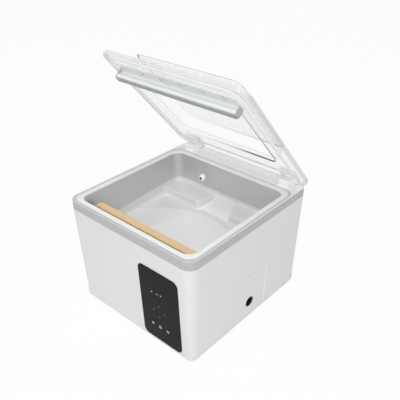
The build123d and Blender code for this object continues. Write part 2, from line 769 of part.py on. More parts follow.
# ================================================================ control panel
key_places = [(keys_middle + step * key_pitch, key_level) for step in (-1, 0, 1)]
lamp_places = [(keys_middle - lamp_ring, lamp_level), (keys_middle + lamp_ring, lamp_level),
               (keys_middle, lamp_level - lamp_ring), (keys_middle, lamp_level + lamp_ring)]
with BuildPart() as control_panel:
    with BuildSketch(front_face):
        with Locations((panel_middle, panel_mid_level)):
            RectangleRounded(panel_width, panel_height, panel_radius)
        with Locations(*key_places):
            Circle(key_radius + body_gap, mode=Mode.SUBTRACT)
        with Locations(*lamp_places):
            Circle(lamp_radius, mode=Mode.SUBTRACT)
    extrude(amount=panel_thickness)
    panel_rim = control_panel.faces().sort_by(front_out)[-1].outer_wire().edges()
    chamfer(panel_rim, 0.6)
finish(control_panel, "control_panel")

with BuildPart() as indicator_lenses:
    with BuildSketch(front_face.offset(-2)):
        with Locations(*lamp_places):
            Circle(lamp_radius)
    extrude(amount=panel_thickness + 2)
finish(indicator_lenses, "indicator_lenses")

key_back = 2.0              # how far a key reaches behind the face
board_level = key_back + key_travel + 2.5
for name, place in zip(("left", "middle", "right"), key_places):
    with BuildPart() as key:
        with BuildSketch(front_face.offset(-key_back)):
            with Locations(place):
                Circle(key_radius)
        extrude(amount=key_back + panel_thickness + key_proud)
        fillet(key.faces().sort_by(front_out)[-1].edges(), 0.5)
        with BuildSketch(front_face.offset(-key_back)):
            with Locations(place):
                Circle(key_radius + key_flange)
        extrude(amount=key_back - body_gap)
    finish(key, f"key_{name}")

board_size = (window_size[0] + 4 * spacer_radius, window_size[1] + 4 * spacer_radius)
with BuildPart() as control_board:
    with BuildSketch(front_face.offset(-shell_wall - spacer_length)):
        with Locations((panel_middle, panel_mid_level)):
            Rectangle(*board_size)
    extrude(amount=-board_thickness)
    # key switches, lamp pipes and larger components
    with BuildSketch(front_face.offset(-shell_wall - spacer_length)):
        with Locations(*key_places):
            Rectangle(6, 6)
    extrude(amount=shell_wall + spacer_length - key_back - key_travel - body_gap)
    with BuildSketch(front_face.offset(-shell_wall - spacer_length)):
        with Locations(*lamp_places):
            Circle(lamp_radius + 0.5)
    extrude(amount=shell_wall + spacer_length - 2)
    with BuildSketch(front_face.offset(-shell_wall - spacer_length - board_thickness)):
        with Locations((panel_middle, panel_mid_level + relay_rise)):
            Rectangle(*relay_size)
        with Locations((panel_middle + chip_place[0], panel_mid_level + chip_place[1])):
            Rectangle(*chip_size)
    extrude(amount=-board_part_height)
finish(control_board, "control_board")

with BuildPart() as board_spacers:
    with BuildSketch(front_face.offset(-shell_wall)):
        with Locations((panel_middle, panel_mid_level)):
            with GridLocations(window_size[0] + 2 * spacer_radius, window_size[1] + 2 * spacer_radius, 2, 2):
                Circle(spacer_radius)
    extrude(amount=-spacer_length)
finish(board_spacers, "board_spacers")

# ================================================================ service hatch
hole_place = (hatch_middle + hatch_hole_offset, hatch_hole_level)
with BuildPart() as service_hatch:
    with BuildSketch(right_face):
        with Locations((hatch_middle, hatch_height / 2)):
            RectangleRounded(hatch_width - 2 * hatch_seam, hatch_height - 2 * hatch_seam, hatch_radius)
        with Locations(hole_place):
            Circle(hatch_hole_radius, mode=Mode.SUBTRACT)
    extrude(amount=-hatch_thickness)
    with BuildSketch(right_face.offset(-hatch_thickness)):
        with Locations((hatch_middle, peg_level)):
            with GridLocations(*peg_spacing, 2, 2):
                Circle(peg_radius)
    extrude(amount=-(shell_wall - hatch_thickness + hatch_ledge_thickness + 2))
    with BuildSketch(right_face.offset(-hatch_thickness)):
        with Locations((hatch_middle, hatch_height - 30)):
            with GridLocations(0, 14, 1, 2):
                Rectangle(hatch_width - 30, 1.6)
    extrude(amount=-4)
finish(service_hatch, "service_hatch")

with BuildPart() as hatch_grommet:
    with BuildSketch(right_face.offset(-hatch_thickness - 1.5)):
        with Locations(hole_place):
            Circle(hatch_hole_radius)
            Circle(hatch_hole_radius - grommet_wall, mode=Mode.SUBTRACT)
    extrude(amount=hatch_thickness + 1.8)
finish(hatch_grommet, "hatch_grommet")

# ================================================================ rear service panel
with BuildPart() as rear_panel:
    with BuildSketch(rear_face):
        with Locations((0, service_level)):
            RectangleRounded(service_width, service_height, 4)
            with GridLocations(service_width - service_margin, service_height - service_margin, 2, 2):
                Circle(screw_radius, mode=Mode.SUBTRACT)
        with Locations((vent_middle, service_level)):
            with GridLocations(0, vent_pitch, 1, vent_count):
                SlotOverall(vent_length, vent_width, mode=Mode.SUBTRACT)
        with Locations((power_middle, inlet_level)):
            Rectangle(inlet_width + 2 * inlet_wall, inlet_opening + 2 * inlet_wall, mode=Mode.SUBTRACT)
        with Locations((power_middle, switch_level)):
            Rectangle(rocker_width + 5, rocker_length + 5, mode=Mode.SUBTRACT)
    extrude(amount=service_thickness)
finish(rear_panel, "rear_panel")

with BuildPart() as rear_panel_screws:
    with BuildSketch(rear_face.offset(service_thickness)):
        with Locations((0, service_level)):
            with GridLocations(service_width - service_margin, service_height - service_margin, 2, 2):
                Circle(screw_head_radius)
    extrude(amount=screw_head_height)
    fillet(rear_panel_screws.faces().sort_by(rear_out)[-4:].edges(), 1)
    with BuildSketch(rear_face.offset(service_thickness)):
        with Locations((0, service_level)):
            with GridLocations(service_width - service_margin, service_height - service_margin, 2, 2):
                Circle(screw_radius)
    extrude(amount=-service_thickness)
finish(rear_panel_screws, "rear_panel_screws")

inlet_front = service_thickness + inlet_flange
with BuildPart() as mains_inlet:
    with BuildSketch(rear_face.offset(service_thickness)):
        with Locations((power_middle, inlet_level)):
            RectangleRounded(48, 23, 5)
    extrude(amount=inlet_flange)
    with BuildSketch(rear_face.offset(service_thickness)):
        with Locations((power_middle, inlet_level)):
            Rectangle(inlet_width + 2 * inlet_wall, inlet_opening + 2 * inlet_wall)
    extrude(amount=inlet_flange - inlet_depth - 3)
    with BuildSketch(rear_face.offset(inlet_front)):
        with Locations((power_middle, inlet_level)):
            Rectangle(inlet_width, inlet_opening)
    extrude(amount=-inlet_depth, mode=Mode.SUBTRACT)
finish(mains_inlet, "mains_inlet")

with BuildPart() as inlet_pins:
    with BuildSketch(rear_face.offset(inlet_front - inlet_depth)):
        with Locations((power_middle, inlet_level - 2)):
            with GridLocations(14, 0, 2, 1):
                Rectangle(2, 4)
        with Locations((power_middle, inlet_level + 2)):
            Rectangle(2, 4)
    extrude(amount=inlet_depth - 2.5)
finish(inlet_pins, "inlet_pins")

pivot_height = service_thickness + bezel_height - rocker_face
pivot = Plane(origin=rear_face.from_local_coords((power_middle, switch_level, pivot_height)),
              x_dir=rear_face.y_dir, z_dir=rear_face.x_dir)
with BuildPart() as switch_housing:
    with BuildSketch(rear_face.offset(service_thickness)):
        with Locations((power_middle, switch_level)):
            RectangleRounded(rocker_width + 9, rocker_length + 9, 2)
    extrude(amount=bezel_height)
    with BuildSketch(rear_face.offset(service_thickness)):
        with Locations((power_middle, switch_level)):
            Rectangle(rocker_width + 5, rocker_length + 5)
    extrude(amount=-16)
    with BuildSketch(rear_face.offset(service_thickness + 2)):
        with Locations((power_middle, switch_level)):
            Rectangle(rocker_width + 2 * body_gap, rocker_length + 3 * body_gap)
    extrude(amount=-14, mode=Mode.SUBTRACT)
    with BuildSketch(pivot.offset(-rocker_width / 2 - 2)):
        Circle(rocker_pin_radius)
    extrude(amount=rocker_width + 4)
finish(switch_housing, "switch_housing")

with BuildPart() as power_rocker:
    # the pressed half lies flush, the other half stands up by the throw
    with BuildSketch(pivot.offset(-rocker_width / 2)):
        Circle(rocker_length / 2)
        with BuildLine():
            Polyline((-rocker_length, rocker_face), (0, rocker_face),
                     (rocker_length, rocker_face + rocker_length * tan(radians(rocker_throw))),
                     (rocker_length, 2 * rocker_length), (-rocker_length, 2 * rocker_length), close=True)
        make_face(mode=Mode.SUBTRACT)
        with Locations((0, -rocker_face - 2 - rocker_length / 2)):
            Rectangle(2 * rocker_length, rocker_length, mode=Mode.SUBTRACT)
        Circle(rocker_pin_radius + running_gap, mode=Mode.SUBTRACT)
    extrude(amount=rocker_width)
finish(power_rocker, "power_rocker")

# ================================================================ vacuum pump
sight_place = right_face.from_local_coords((hole_place[0], hole_place[1], 0))
motor_axis = Plane(origin=(0, pump_y, pump_z), x_dir=(0, 1, 0), z_dir=(1, 0, 0))
with BuildPart() as pump_motor:
    with BuildSketch(Plane.XZ.offset(-pump_y)):
        with BuildLine():
            Polyline((motor_back, pump_z), (motor_front, pump_z), (motor_front, pump_z + motor_radius - 4),
                     (motor_back, pump_z + motor_radius - 4), close=True)
        make_face()
        with Locations(((motor_back + motor_front) / 2, pump_z + motor_radius - 4)):
            with GridLocations((motor_front - motor_back - 4) / (motor_fins - 1), 0, motor_fins, 1):
                Rectangle(4, 8)
    revolve(axis=Axis((0, pump_y, pump_z), (1, 0, 0)))
    with BuildSketch(Plane.XY.offset(mount_top_z)):
        with Locations(((motor_back + motor_front) / 2, pump_y)):
            Rectangle(mount_spacing[0] + 20, mount_spacing[1] + 16)
    extrude(amount=6)
    with BuildSketch(Plane.XY.offset(mount_top_z)):
        with Locations(((motor_back + motor_front) / 2, pump_y)):
            Rectangle(mount_spacing[0], 40)
    extrude(amount=pump_z - motor_radius + 10 - mount_top_z)
    with BuildSketch(motor_axis.offset(motor_back)):
        Circle(shaft_radius + running_gap)
    extrude(amount=30, mode=Mode.SUBTRACT)
finish(pump_motor, "pump_motor")

with BuildPart() as pump_mounts:
    with BuildSketch(Plane.XY.offset(inside_z)):
        with Locations(((motor_back + motor_front) / 2, pump_y)):
            with GridLocations(*mount_spacing, 2, 2):
                Circle(8)
    extrude(amount=mount_top_z - inside_z)
finish(pump_mounts, "pump_mounts")

with BuildPart() as motor_fan:
    with BuildSketch(motor_axis.offset(motor_back - shaft_end)):
        Circle(fan_hub_radius)
    extrude(amount=-fan_width)
    with BuildSketch(motor_axis.offset(motor_back - shaft_end)):
        with PolarLocations(fan_hub_radius + (motor_radius - 24) / 2, fan_blades):
            Rectangle(motor_radius - 20, 2)
    extrude(amount=-fan_width)
    with BuildSketch(motor_axis.offset(motor_back + shaft_sink)):
        Circle(shaft_radius)
    extrude(amount=-shaft_sink - shaft_end)
finish(motor_fan, "motor_fan")

cowl_length = fan_width + 9
with BuildPart() as fan_cowl:
    with BuildSketch(motor_axis.offset(motor_back)):
        Circle(motor_radius)
    extrude(amount=-cowl_length)
    with BuildSketch(motor_axis.offset(motor_back)):
        Circle(motor_radius - cowl_wall)
    extrude(amount=-(cowl_length - cowl_wall), mode=Mode.SUBTRACT)
    with BuildSketch(motor_axis.offset(motor_back - cowl_length)):
        with PolarLocations(motor_radius * 0.62, 10):
            SlotOverall(motor_radius * 0.5, 6, mode=Mode.ADD)
    extrude(amount=cowl_wall, mode=Mode.SUBTRACT)
finish(fan_cowl, "fan_cowl")

with BuildPart() as vacuum_pump:
    with BuildSketch(motor_axis.offset(motor_front)):
        RectangleRounded(2 * motor_radius - 4, 2 * motor_radius - 4, 10)
    extrude(amount=pump_length)
    with BuildSketch(motor_axis.offset(motor_front + 6)):
        Rectangle(2 * motor_radius, 3)
        with GridLocations(0, 14, 1, 6):
            Rectangle(2 * motor_radius, 3)
    extrude(amount=pump_length - 12)
    # inlet spigot towards the rear
    with BuildSketch(Plane.XZ.offset(-pump_y - motor_radius + 3)):
        with Locations((motor_front + pump_length / 2, inlet_port_z)):
            Circle(port_radius)
    extrude(amount=-13)
finish(vacuum_pump, "vacuum_pump")

case_start = motor_front + pump_length
with BuildPart() as oil_case:
    with BuildSketch(motor_axis.offset(case_start)):
        RectangleRounded(2 * motor_radius + 4, 2 * motor_radius - 4, 12)
    extrude(amount=case_length)
    fillet(oil_case.faces().sort_by(Axis.X)[-1].edges(), 5)
    # filler neck
    with BuildSketch(Plane.XY.offset(pump_z + motor_radius - 3)):
        with Locations((case_start + case_length / 2, pump_y - 25)):
            Circle(9)
    extrude(amount=9)
finish(oil_case, "oil_case")

with BuildPart() as oil_sight_glass:
    with BuildSketch(Plane.YZ.offset(case_start + case_length)):
        with Locations((sight_place.Y, sight_place.Z)):
            Circle(hatch_hole_radius - grommet_wall - 1)
    extrude(amount=4)
    fillet(oil_sight_glass.faces().sort_by(Axis.X)[-1].edges(), 1)
finish(oil_sight_glass, "oil_sight_glass")

with BuildPart() as exhaust_filter:
    with BuildSketch(Plane.XY.offset(pump_z + motor_radius - 2)):
        with Locations((case_start + case_length / 2, pump_y + 22)):
            Circle(filter_radius)
    extrude(amount=filter_height)
    fillet(exhaust_filter.faces().sort_by(Axis.Z)[-1].edges(), 4)
finish(exhaust_filter, "exhaust_filter")

# ================================================================ transformer
core_mid_z = inside_z + transformer_foot + core_size[1] / 2
with BuildPart() as transformer_core:
    with BuildSketch(Plane.XZ.offset(-transformer_y - core_stack / 2)):
        with Locations((transformer_x, core_mid_z)):
            Rectangle(*core_size)
            with GridLocations(core_leg + core_window[0], 0, 2, 1):
                Rectangle(*core_window, mode=Mode.SUBTRACT)
    extrude(amount=core_stack)
    with BuildSketch(Plane.XY.offset(inside_z)):
        with Locations((transformer_x, transformer_y)):
            Rectangle(core_size[0] + 16, core_stack)
    extrude(amount=transformer_foot)
finish(transformer_core, "transformer_core")

with BuildPart() as transformer_coil:
    with BuildSketch(Plane.XY.offset(core_mid_z - core_window[1] / 2)):
        with Locations((transformer_x, transformer_y)):
            Rectangle(core_leg + 2 * core_window[0], core_stack + 2 * core_window[0])
            Rectangle(core_leg, core_stack, mode=Mode.SUBTRACT)
    extrude(amount=core_window[1])
finish(transformer_coil, "transformer_coil")

# ================================================================ valve and hoses
valve_top_z = inside_z + valve_size[2]
suction_port = (valve_x - 12, valve_y)
with BuildPart() as valve_block:
    with BuildSketch(Plane.XY.offset(inside_z)):
        with Locations((valve_x, valve_y)):
            Rectangle(valve_size[0], valve_size[1])
    extrude(amount=valve_size[2])
    with BuildSketch(Plane.XY.offset(valve_top_z)):
        with Locations(suction_port):
            Circle(port_radius)
    extrude(amount=12)
    with BuildSketch(Plane.YZ.offset(valve_x + valve_size[0] / 2)):
        with Locations((valve_y, inside_z + valve_size[2] / 2)):
            Circle(port_radius)
    extrude(amount=10)
finish(valve_block, "valve_block")

with BuildPart() as valve_coil:
    with BuildSketch(Plane.XY.offset(valve_top_z)):
        with Locations((valve_x + 12, valve_y)):
            RectangleRounded(22, 30, 3)
    extrude(amount=28)
finish(valve_coil, "valve_coil")


def hose(points):
    """A hose of straight runs joined by tangent arcs, each as large as its two runs allow."""
    corners = [Vector(*point) for point in points]
    runs = [after - before for before, after in zip(corners, corners[1:])]
    radii = []
    for first, second in zip(runs, runs[1:]):
        half_turn = radians(first.get_angle(second)) / 2
        radii.append(0.45 * min(first.length, second.length) * cos(half_turn) / sin(half_turn))
    print("hose radii", [round(radius, 1) for radius in radii])
    with BuildPart() as tube:
        with BuildLine() as route:
            FilletPolyline(*corners, radius=radii)
        with BuildSketch(Plane(origin=corners[0], z_dir=runs[0])):
            Circle(hose_radius)
            Circle(hose_bore, mode=Mode.SUBTRACT)
        sweep(path=route.wires()[0])
    return tube


suction_start = (nozzle_x, wall_in_y + 21, nozzle_z - 16)
finish(hose([suction_start, (nozzle_x, suction_start[1], nozzle_z - 56),
             (nozzle_x + 18, valve_y + 4, nozzle_z - 94), (*suction_port, valve_top_z + 54),
             (*suction_port, valve_top_z + 12)]), "suction_hose")
pump_port = (motor_front + pump_length / 2, pump_y + motor_radius + 10, inlet_port_z)
valve_side = (valve_x + valve_size[0] / 2 + 10, valve_y, inside_z + valve_size[2] / 2)
finish(hose([valve_side, (valve_side[0] + 28, valve_y, valve_side[2]), (pump_port[0] - 14, valve_y - 14, valve_side[2] + 14),
             (pump_port[0], pump_port[1] + 58, pump_port[2] - 18), (pump_port[0], pump_port[1] + 28, pump_port[2]),
             pump_port]), "pump_hose")

os.makedirs("parts", exist_ok=True)
for piece in pieces:
    export_step(piece, f"parts/{piece.label}.step")
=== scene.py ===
"""Dresses the vacuum chamber sealer: finishes, printed panel, small fittings, and the studio round it."""

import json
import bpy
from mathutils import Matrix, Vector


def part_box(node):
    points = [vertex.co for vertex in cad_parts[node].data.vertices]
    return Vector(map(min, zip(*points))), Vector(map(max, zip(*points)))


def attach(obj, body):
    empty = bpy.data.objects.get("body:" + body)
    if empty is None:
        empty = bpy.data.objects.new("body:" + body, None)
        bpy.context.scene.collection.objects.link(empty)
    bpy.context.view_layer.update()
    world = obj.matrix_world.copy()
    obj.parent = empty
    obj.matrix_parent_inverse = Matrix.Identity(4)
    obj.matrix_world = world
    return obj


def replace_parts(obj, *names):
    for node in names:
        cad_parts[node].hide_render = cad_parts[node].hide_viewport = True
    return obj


bl_info = {
    "name": "Chamber sealer dressing",
    "version": (1, 0, 0),
    "blender": (4, 5, 0),
    "location": "View3D > Sidebar > Sealer",
    "description": "Finishes and small pieces of a table-top vacuum chamber sealer",
    "category": "Object",
}

from math import radians

import bmesh
import bpy
import numpy as np
from bpy.props import FloatProperty, FloatVectorProperty, PointerProperty
from mathutils import Matrix, Vector

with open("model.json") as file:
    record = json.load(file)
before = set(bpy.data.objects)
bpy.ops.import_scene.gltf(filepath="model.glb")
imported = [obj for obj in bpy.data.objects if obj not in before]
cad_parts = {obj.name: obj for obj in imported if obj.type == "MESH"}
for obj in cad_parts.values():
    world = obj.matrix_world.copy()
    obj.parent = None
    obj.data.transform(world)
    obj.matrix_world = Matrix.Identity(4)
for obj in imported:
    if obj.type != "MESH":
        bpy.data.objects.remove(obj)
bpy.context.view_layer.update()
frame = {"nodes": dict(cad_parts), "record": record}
NODES = frame["nodes"]
SLOT_OF = {entry["node"]: entry["material_slot"] for entry in frame["record"]["subparts"]}

FINISH = {}


# ================================================================ settings
def colour(label, text, default):
    """A colour property with alpha left out."""
    return FloatVectorProperty(name=label, description=text, subtype="COLOR", size=3, min=0.0, max=1.0,
                               default=default)


def length(label, text, default):
    """A length property in metres."""
    return FloatProperty(name=label, description=text, default=default, min=0.0, unit="LENGTH", precision=4)


def amount(label, text, default):
    """A plain number from nought upwards."""
    return FloatProperty(name=label, description=text, default=default, min=0.0)


class StageSettings(bpy.types.PropertyGroup):
    """The studio: camera, lamps, floor and surround."""

    camera_place: FloatVectorProperty(name="Camera place", description="Where the camera stands", size=3,
                                      subtype="XYZ", unit="LENGTH", default=(0.7637, -0.8154, 0.9317))
    turn: FloatProperty(name="Turn", description="Camera's angle round the object from straight in front",
                        subtype="ANGLE", default=radians(41.952))
    rise: FloatProperty(name="Rise", description="Camera's angle above the level", subtype="ANGLE",
                        default=radians(30.992))
    roll: FloatProperty(name="Roll", description="Camera's turn about its own line of sight", subtype="ANGLE",
                        default=radians(-0.503))
    lens: FloatProperty(name="Lens", description="Focal length on a 36 mm wide sensor, in millimetres",
                        default=50.07)
    floor_colour: colour("Floor", "Colour of the pale floor", (0.92, 0.92, 0.92))
    surround: amount("Surround", "Light from all round", 0.47)
    key_light: amount("Key light", "Power of the large soft lamp above the front, in watts", 13.0)
    top_light: amount("Top light", "Power of the soft lamp straight above, in watts", 16.0)
    side_light: amount("Side light", "Power of the soft lamp level with the front corner, in watts", 14.0)


class ShellSettings(bpy.types.PropertyGroup):
    """Colours and sizes of the body, its chamber and what the chamber holds."""

    body: colour("Body", "Skirt and hatch", (0.80, 0.80, 0.80))
    rim: colour("Rim", "Grey band and rear ledge", (0.50, 0.50, 0.50))
    # Painted light: the rim's top takes this paler tone, fully at the back and a quarter at the front,
    # standing in for light from the lid falling on the rear ledge.
    ledge: colour("Ledge", "Flat top of the frame round the chamber", (0.94, 0.94, 0.94))
    # The pan's and the walls' tones are one steel painted lit and in shade: the pan as lit from above, the
    # walls in painted shade.
    chamber: colour("Chamber", "Satin steel of the chamber's pan", (0.88, 0.876, 0.876))
    shaded_chamber_wall: colour("Chamber wall", "Satin steel of the chamber's upright walls", (0.615, 0.612, 0.612))
    lip: colour("Lip", "Sealing lip round the chamber", (0.84, 0.84, 0.84))
    lip_border: colour("Lip border", "Outer border of the sealing lip", (0.54, 0.54, 0.54))
    cloth: colour("Cloth", "Coated glass cloth over the seal bar", (0.86, 0.62, 0.33))
    fitting: colour("Fitting", "White fittings: hinge blocks, nozzle and collar", (0.99, 0.99, 0.99))
    grain: length("Grain", "Size of the moulded surface's fine grain", 0.0006)
    tub_wall: length("Tub wall", "Thickness of the chamber's sheet", 0.0025)
    step_height: length("Step height", "Top of the chamber's rear step, above its floor", 0.0255)
    press_radius: length("Press radius", "Softening of the step's corners", 0.0052)
    # Painted light: a round pool of light painted on the chamber's floor, with painted shade outside it.
    light_pool_middle: FloatProperty(name="Dish middle", unit="LENGTH", default=-0.132,
                               description="Middle of the shallow round dish in the chamber's floor")
    light_pool_radius: length("Dish radius", "Radius of the dish", 0.197)
    lip_width: length("Lip width", "Width of the sealing lip", 0.0161)
    lip_bead: length("Lip bead", "Width of the raised bead along the lip's inner edge", 0.0045)
    lip_radius: length("Lip radius", "Corner radius of the lip, inside and outside", 0.024)


class LidSettings(bpy.types.PropertyGroup):
    """Colours and sizes of the lid and what it carries."""

    frame_colour: colour("Frame", "Clear moulding of the lid frame", (0.95, 0.955, 0.955))
    window_tint: colour("Window", "Tint of the clear window", (0.95, 0.955, 0.955))
    bar: colour("Counter bar", "Anodised counter bar", (0.88, 0.905, 0.90))
    strip: colour("Silicone strip", "Soft strip under the counter bar", (0.30, 0.32, 0.31))
    # Painted shade: the dark lines along the clear mouldings' edges, and the grey of the lid's outer sides
    # below, stand in for light that clear plastic bends away.
    painted_edge_shade: colour("Edge", "Polished edge of the clear mouldings", (0.06, 0.065, 0.065))
    side_shade: amount("Frosting", "How grey the lid's outer sides are, from 0 to 1", 0.72)
    skin_gap: length("Skin gap", "Air left between pieces that touch in the solids", 0.0001)
    window_size: FloatVectorProperty(name="Window opening", size=2, unit="LENGTH", default=(0.294, 0.253),
                                     description="Opening in the lid frame, across and deep")
    window_middle: FloatProperty(name="Window middle", description="Middle of the opening from the hinge axis",
                                 unit="LENGTH", default=-0.216)
    window_radius: length("Window radius", "Corner radius of the opening", 0.016)
    frame_radius: length("Frame radius", "Corner radius of the lid", 0.025)
    top_round: length("Top round", "Rounding of the lid's upper edge", 0.003)
    # The dark line round the opening is painted shade, standing in for light bent at the opening's edge.
    edge_line: length("Edge line", "Height of the dark line round the opening", 0.0032)
    dome_wall: length("Dome wall", "Thickness of the raised window", 0.0035)
    dome_flange: length("Dome flange", "Width of the raised window's flange", 0.007)
    dome_lean: length("Dome lean", "How far the raised window's sides draw in", 0.004)
    dome_round: length("Dome round", "Rounding of the raised window's upper edge", 0.006)
    dome_radius: length("Dome radius", "Corner radius of the raised window", 0.026)
    gasket_width: length("Gasket width", "Width of the foam gasket", 0.013)
    gasket_radius: length("Gasket radius", "Inner corner radius of the gasket", 0.024)
    gasket: colour("Gasket", "Foam gasket round the chamber's mouth", (0.90, 0.90, 0.90))


class PanelSettings(bpy.types.PropertyGroup):
    """Colours and sizes of the control panel and its printed signs."""

    face: colour("Face", "Dark face", (0.010, 0.010, 0.011))
    print_colour: colour("Print", "Printed signs", (0.80, 0.80, 0.80))
    stroke: length("Stroke", "Width of a printed line", 0.0011)
    fine_stroke: length("Fine stroke", "Width of a line in the small signs above the lamps", 0.00066)
    print_depth: length("Print depth", "How far the ink stands up", 0.00008)


# ================================================================ shader helpers
class Wire:
    """A socket that takes part in sums: an expression on wires adds its Math nodes."""

    def __init__(self, recipe, socket):
        self.recipe = recipe
        self.socket = socket

    def math(self, operation, first, second=None):
        values = {0: first} if second is None else {0: first, 1: second}
        return self.recipe.node("ShaderNodeMath", {"operation": operation}, values)

    def __add__(self, other):
        return self.math("ADD", self, other)

    __radd__ = __add__

    def __mul__(self, other):
        return self.math("MULTIPLY", self, other)

    __rmul__ = __mul__

    def __sub__(self, other):
        return self.math("SUBTRACT", self, other)

    def __rsub__(self, other):
        return self.math("SUBTRACT", other, self)

    def larger(self, other):
        return self.math("MAXIMUM", self, other)

    def sine(self):
        return self.math("SINE", self)


class Recipe:
    """One material, or the world, and the method that makes any of its nodes."""

    def __init__(self, name, library=None):
        self.block = (bpy.data.materials if library is None else library).new(name)
        self.block.use_nodes = True
        self.tree = self.block.node_tree
        self.tree.nodes.clear()

    def node(self, kind, settings=None, values=None, out=0):
        """Add a node: its settings first, then its sockets' values or links; return one output as a wire."""
        made = self.tree.nodes.new(kind)
        for key, value in (settings or {}).items():
            setattr(made, key, value)
        for key, value in (values or {}).items():
            if isinstance(value, Wire):
                self.tree.links.new(value.socket, made.inputs[key])
            else:
                made.inputs[key].default_value = value
        return Wire(self, made.outputs[out]) if made.outputs else made

    def outputs(self, kind, names, values=None):
        """Add a node and return several of its outputs as wires."""
        made = self.node(kind, values=values, out=names[0]).socket.node
        return [Wire(self, made.outputs[name]) for name in names]

    def place(self):
        """The object's own coordinates, in metres."""
        return self.node("ShaderNodeTexCoord", out="Object")

    def axes(self):
        """The object's own coordinates as three wires."""
        return self.outputs("ShaderNodeSeparateXYZ", ("X", "Y", "Z"), {0: self.place()})

    def stretched(self, scale):
        """The object's coordinates with each axis scaled."""
        return self.node("ShaderNodeMapping", values={"Vector": self.place(), "Scale": scale})

    def noise(self, scale, detail, vector=None):
        """Soft noise with so many cells to the metre."""
        values = {"Vector": vector or self.place(), "Scale": scale, "Detail": detail}
        return self.node("ShaderNodeTexNoise", values=values)

    def edge(self):
        """The mesh's own attribute edge, from 0 to 1."""
        return self.node("ShaderNodeAttribute", {"attribute_name": "edge"}, out="Fac")

    def seen_by(self, *rays):
        """One where any of the named kinds of ray looks, and nought elsewhere."""
        seen, *others = self.outputs("ShaderNodeLightPath", [f"Is {ray} Ray" for ray in rays])
        for other in others:
            seen = seen.larger(other)
        return seen

    def ramp(self, source, start, end, low=0.0, high=1.0):
        """Map a wire from start..end onto low..high, held at both ends."""
        return self.node("ShaderNodeMapRange", values={0: source, 1: start, 2: end, 3: low, 4: high})

    def spread(self, source, middle, swing):
        """Map a wire from 0..1 onto a band that reaches a swing below and above its middle."""
        return source * (2 * swing) + (middle - swing)

    def blend(self, factor, first, second):
        """Mix two colours, which are the Mix node's sockets 6 and 7; its output 2 is the colour."""
        values = {0: factor, 6: rgba(first), 7: rgba(second)}
        return self.node("ShaderNodeMix", {"data_type": "RGBA"}, values, out=2)

    def mottled(self, source, tone, darker):
        """A colour that falls to a share of itself where a wire is low."""
        return self.blend(source, shade(tone, darker), tone)

    def bump(self, height, depth, strength):
        """A normal that follows a height of a given depth in metres."""
        return self.node("ShaderNodeBump", values={"Height": height, "Distance": depth, "Strength": strength})

    def surface(self, **values):
        """Finish with a Principled shader; keys are its socket names with underscores for spaces."""
        named = {key.replace("_", " "): value for key, value in values.items()}
        shader = self.node("ShaderNodeBsdfPrincipled", values=named)
        self.node("ShaderNodeOutputMaterial", values={"Surface": shader})
        return self.block


def rgba(value):
    """A colour with full alpha, or the wire it already is."""
    return value if isinstance(value, Wire) else (*value[:3], 1.0)


def shade(tone, share, added=0.0):
    """A colour times a share, with a little white added, and no brighter than white."""
    return [min(channel * share + added, 1.0) for channel in tone]


# ================================================================ finishes
BROAD_CELLS = 9.0       # clouds of unevenness to the metre on moulded plastic
GRAIN_SHARE = 0.6       # noise cells to one grain
GRAIN_DEPTH = 0.00003
GRAIN_STRENGTH = 0.35
SHEEN_SWING = 0.05      # how far the gloss of moulded plastic wanders


def moulded(name, base, grain, roughness=0.42, depth=GRAIN_DEPTH, darker=0.97):
    """Moulded plastic: a fine grain, a little unevenness of colour and of gloss."""
    recipe = Recipe(name)
    broad = recipe.noise(BROAD_CELLS, 3.0)
    fine = recipe.noise(GRAIN_SHARE / grain, 2.0)
    return recipe.surface(
        Base_Color=recipe.mottled(broad, base, darker),
        Roughness=recipe.spread(broad, roughness, SHEEN_SWING),
        Normal=recipe.bump(fine, depth, GRAIN_STRENGTH), IOR=1.47)


def two_tone_painted_light(name, low_tone, lit_tone, level, back, grain, roughness=0.42):
    """Moulded plastic in one tone; above a level, painted light makes it paler towards the back, parted by a
    fine line.
    """
    recipe = Recipe(name)
    y, z = recipe.axes()[1:]
    line, front_share = 0.0002, 0.25
    above = recipe.ramp(z, level - line, level + line) * recipe.ramp(y, *back, front_share, 1.0)
    broad = recipe.noise(BROAD_CELLS, 3.0)
    fine = recipe.noise(GRAIN_SHARE / grain, 2.0)
    lower = recipe.mottled(broad, low_tone, 0.97)
    upper = recipe.mottled(broad, lit_tone, 0.97)
    return recipe.surface(
        Base_Color=recipe.blend(above, lower, upper),
        Roughness=recipe.spread(broad, roughness, SHEEN_SWING),
        Normal=recipe.bump(fine, GRAIN_DEPTH, GRAIN_STRENGTH), IOR=1.47)


def bordered(name, base, border, roughness=0.36):
    """Soft white plastic with a border in another tone where the attribute edge says so."""
    recipe = Recipe(name)
    broad = recipe.noise(BROAD_CELLS, 2.0)
    return recipe.surface(
        Base_Color=recipe.blend(recipe.edge(), recipe.mottled(broad, base, 0.98), border),
        Roughness=recipe.spread(broad, roughness, 0.03), IOR=1.45)


def metal(name, base, roughness, along=(1.0, 40.0, 40.0), depth=0.00001, share=1.0):
    """Metal with fine drawn lines along one axis; a share below one is metal under a clear, matt coat."""
    recipe = Recipe(name)
    lines = recipe.noise(60.0, 3.0, recipe.stretched(along))
    return recipe.surface(
        Base_Color=recipe.mottled(lines, base, 0.9), Metallic=share,
        Roughness=recipe.spread(lines, roughness, 0.07),
        Normal=recipe.bump(lines, depth, 0.4))


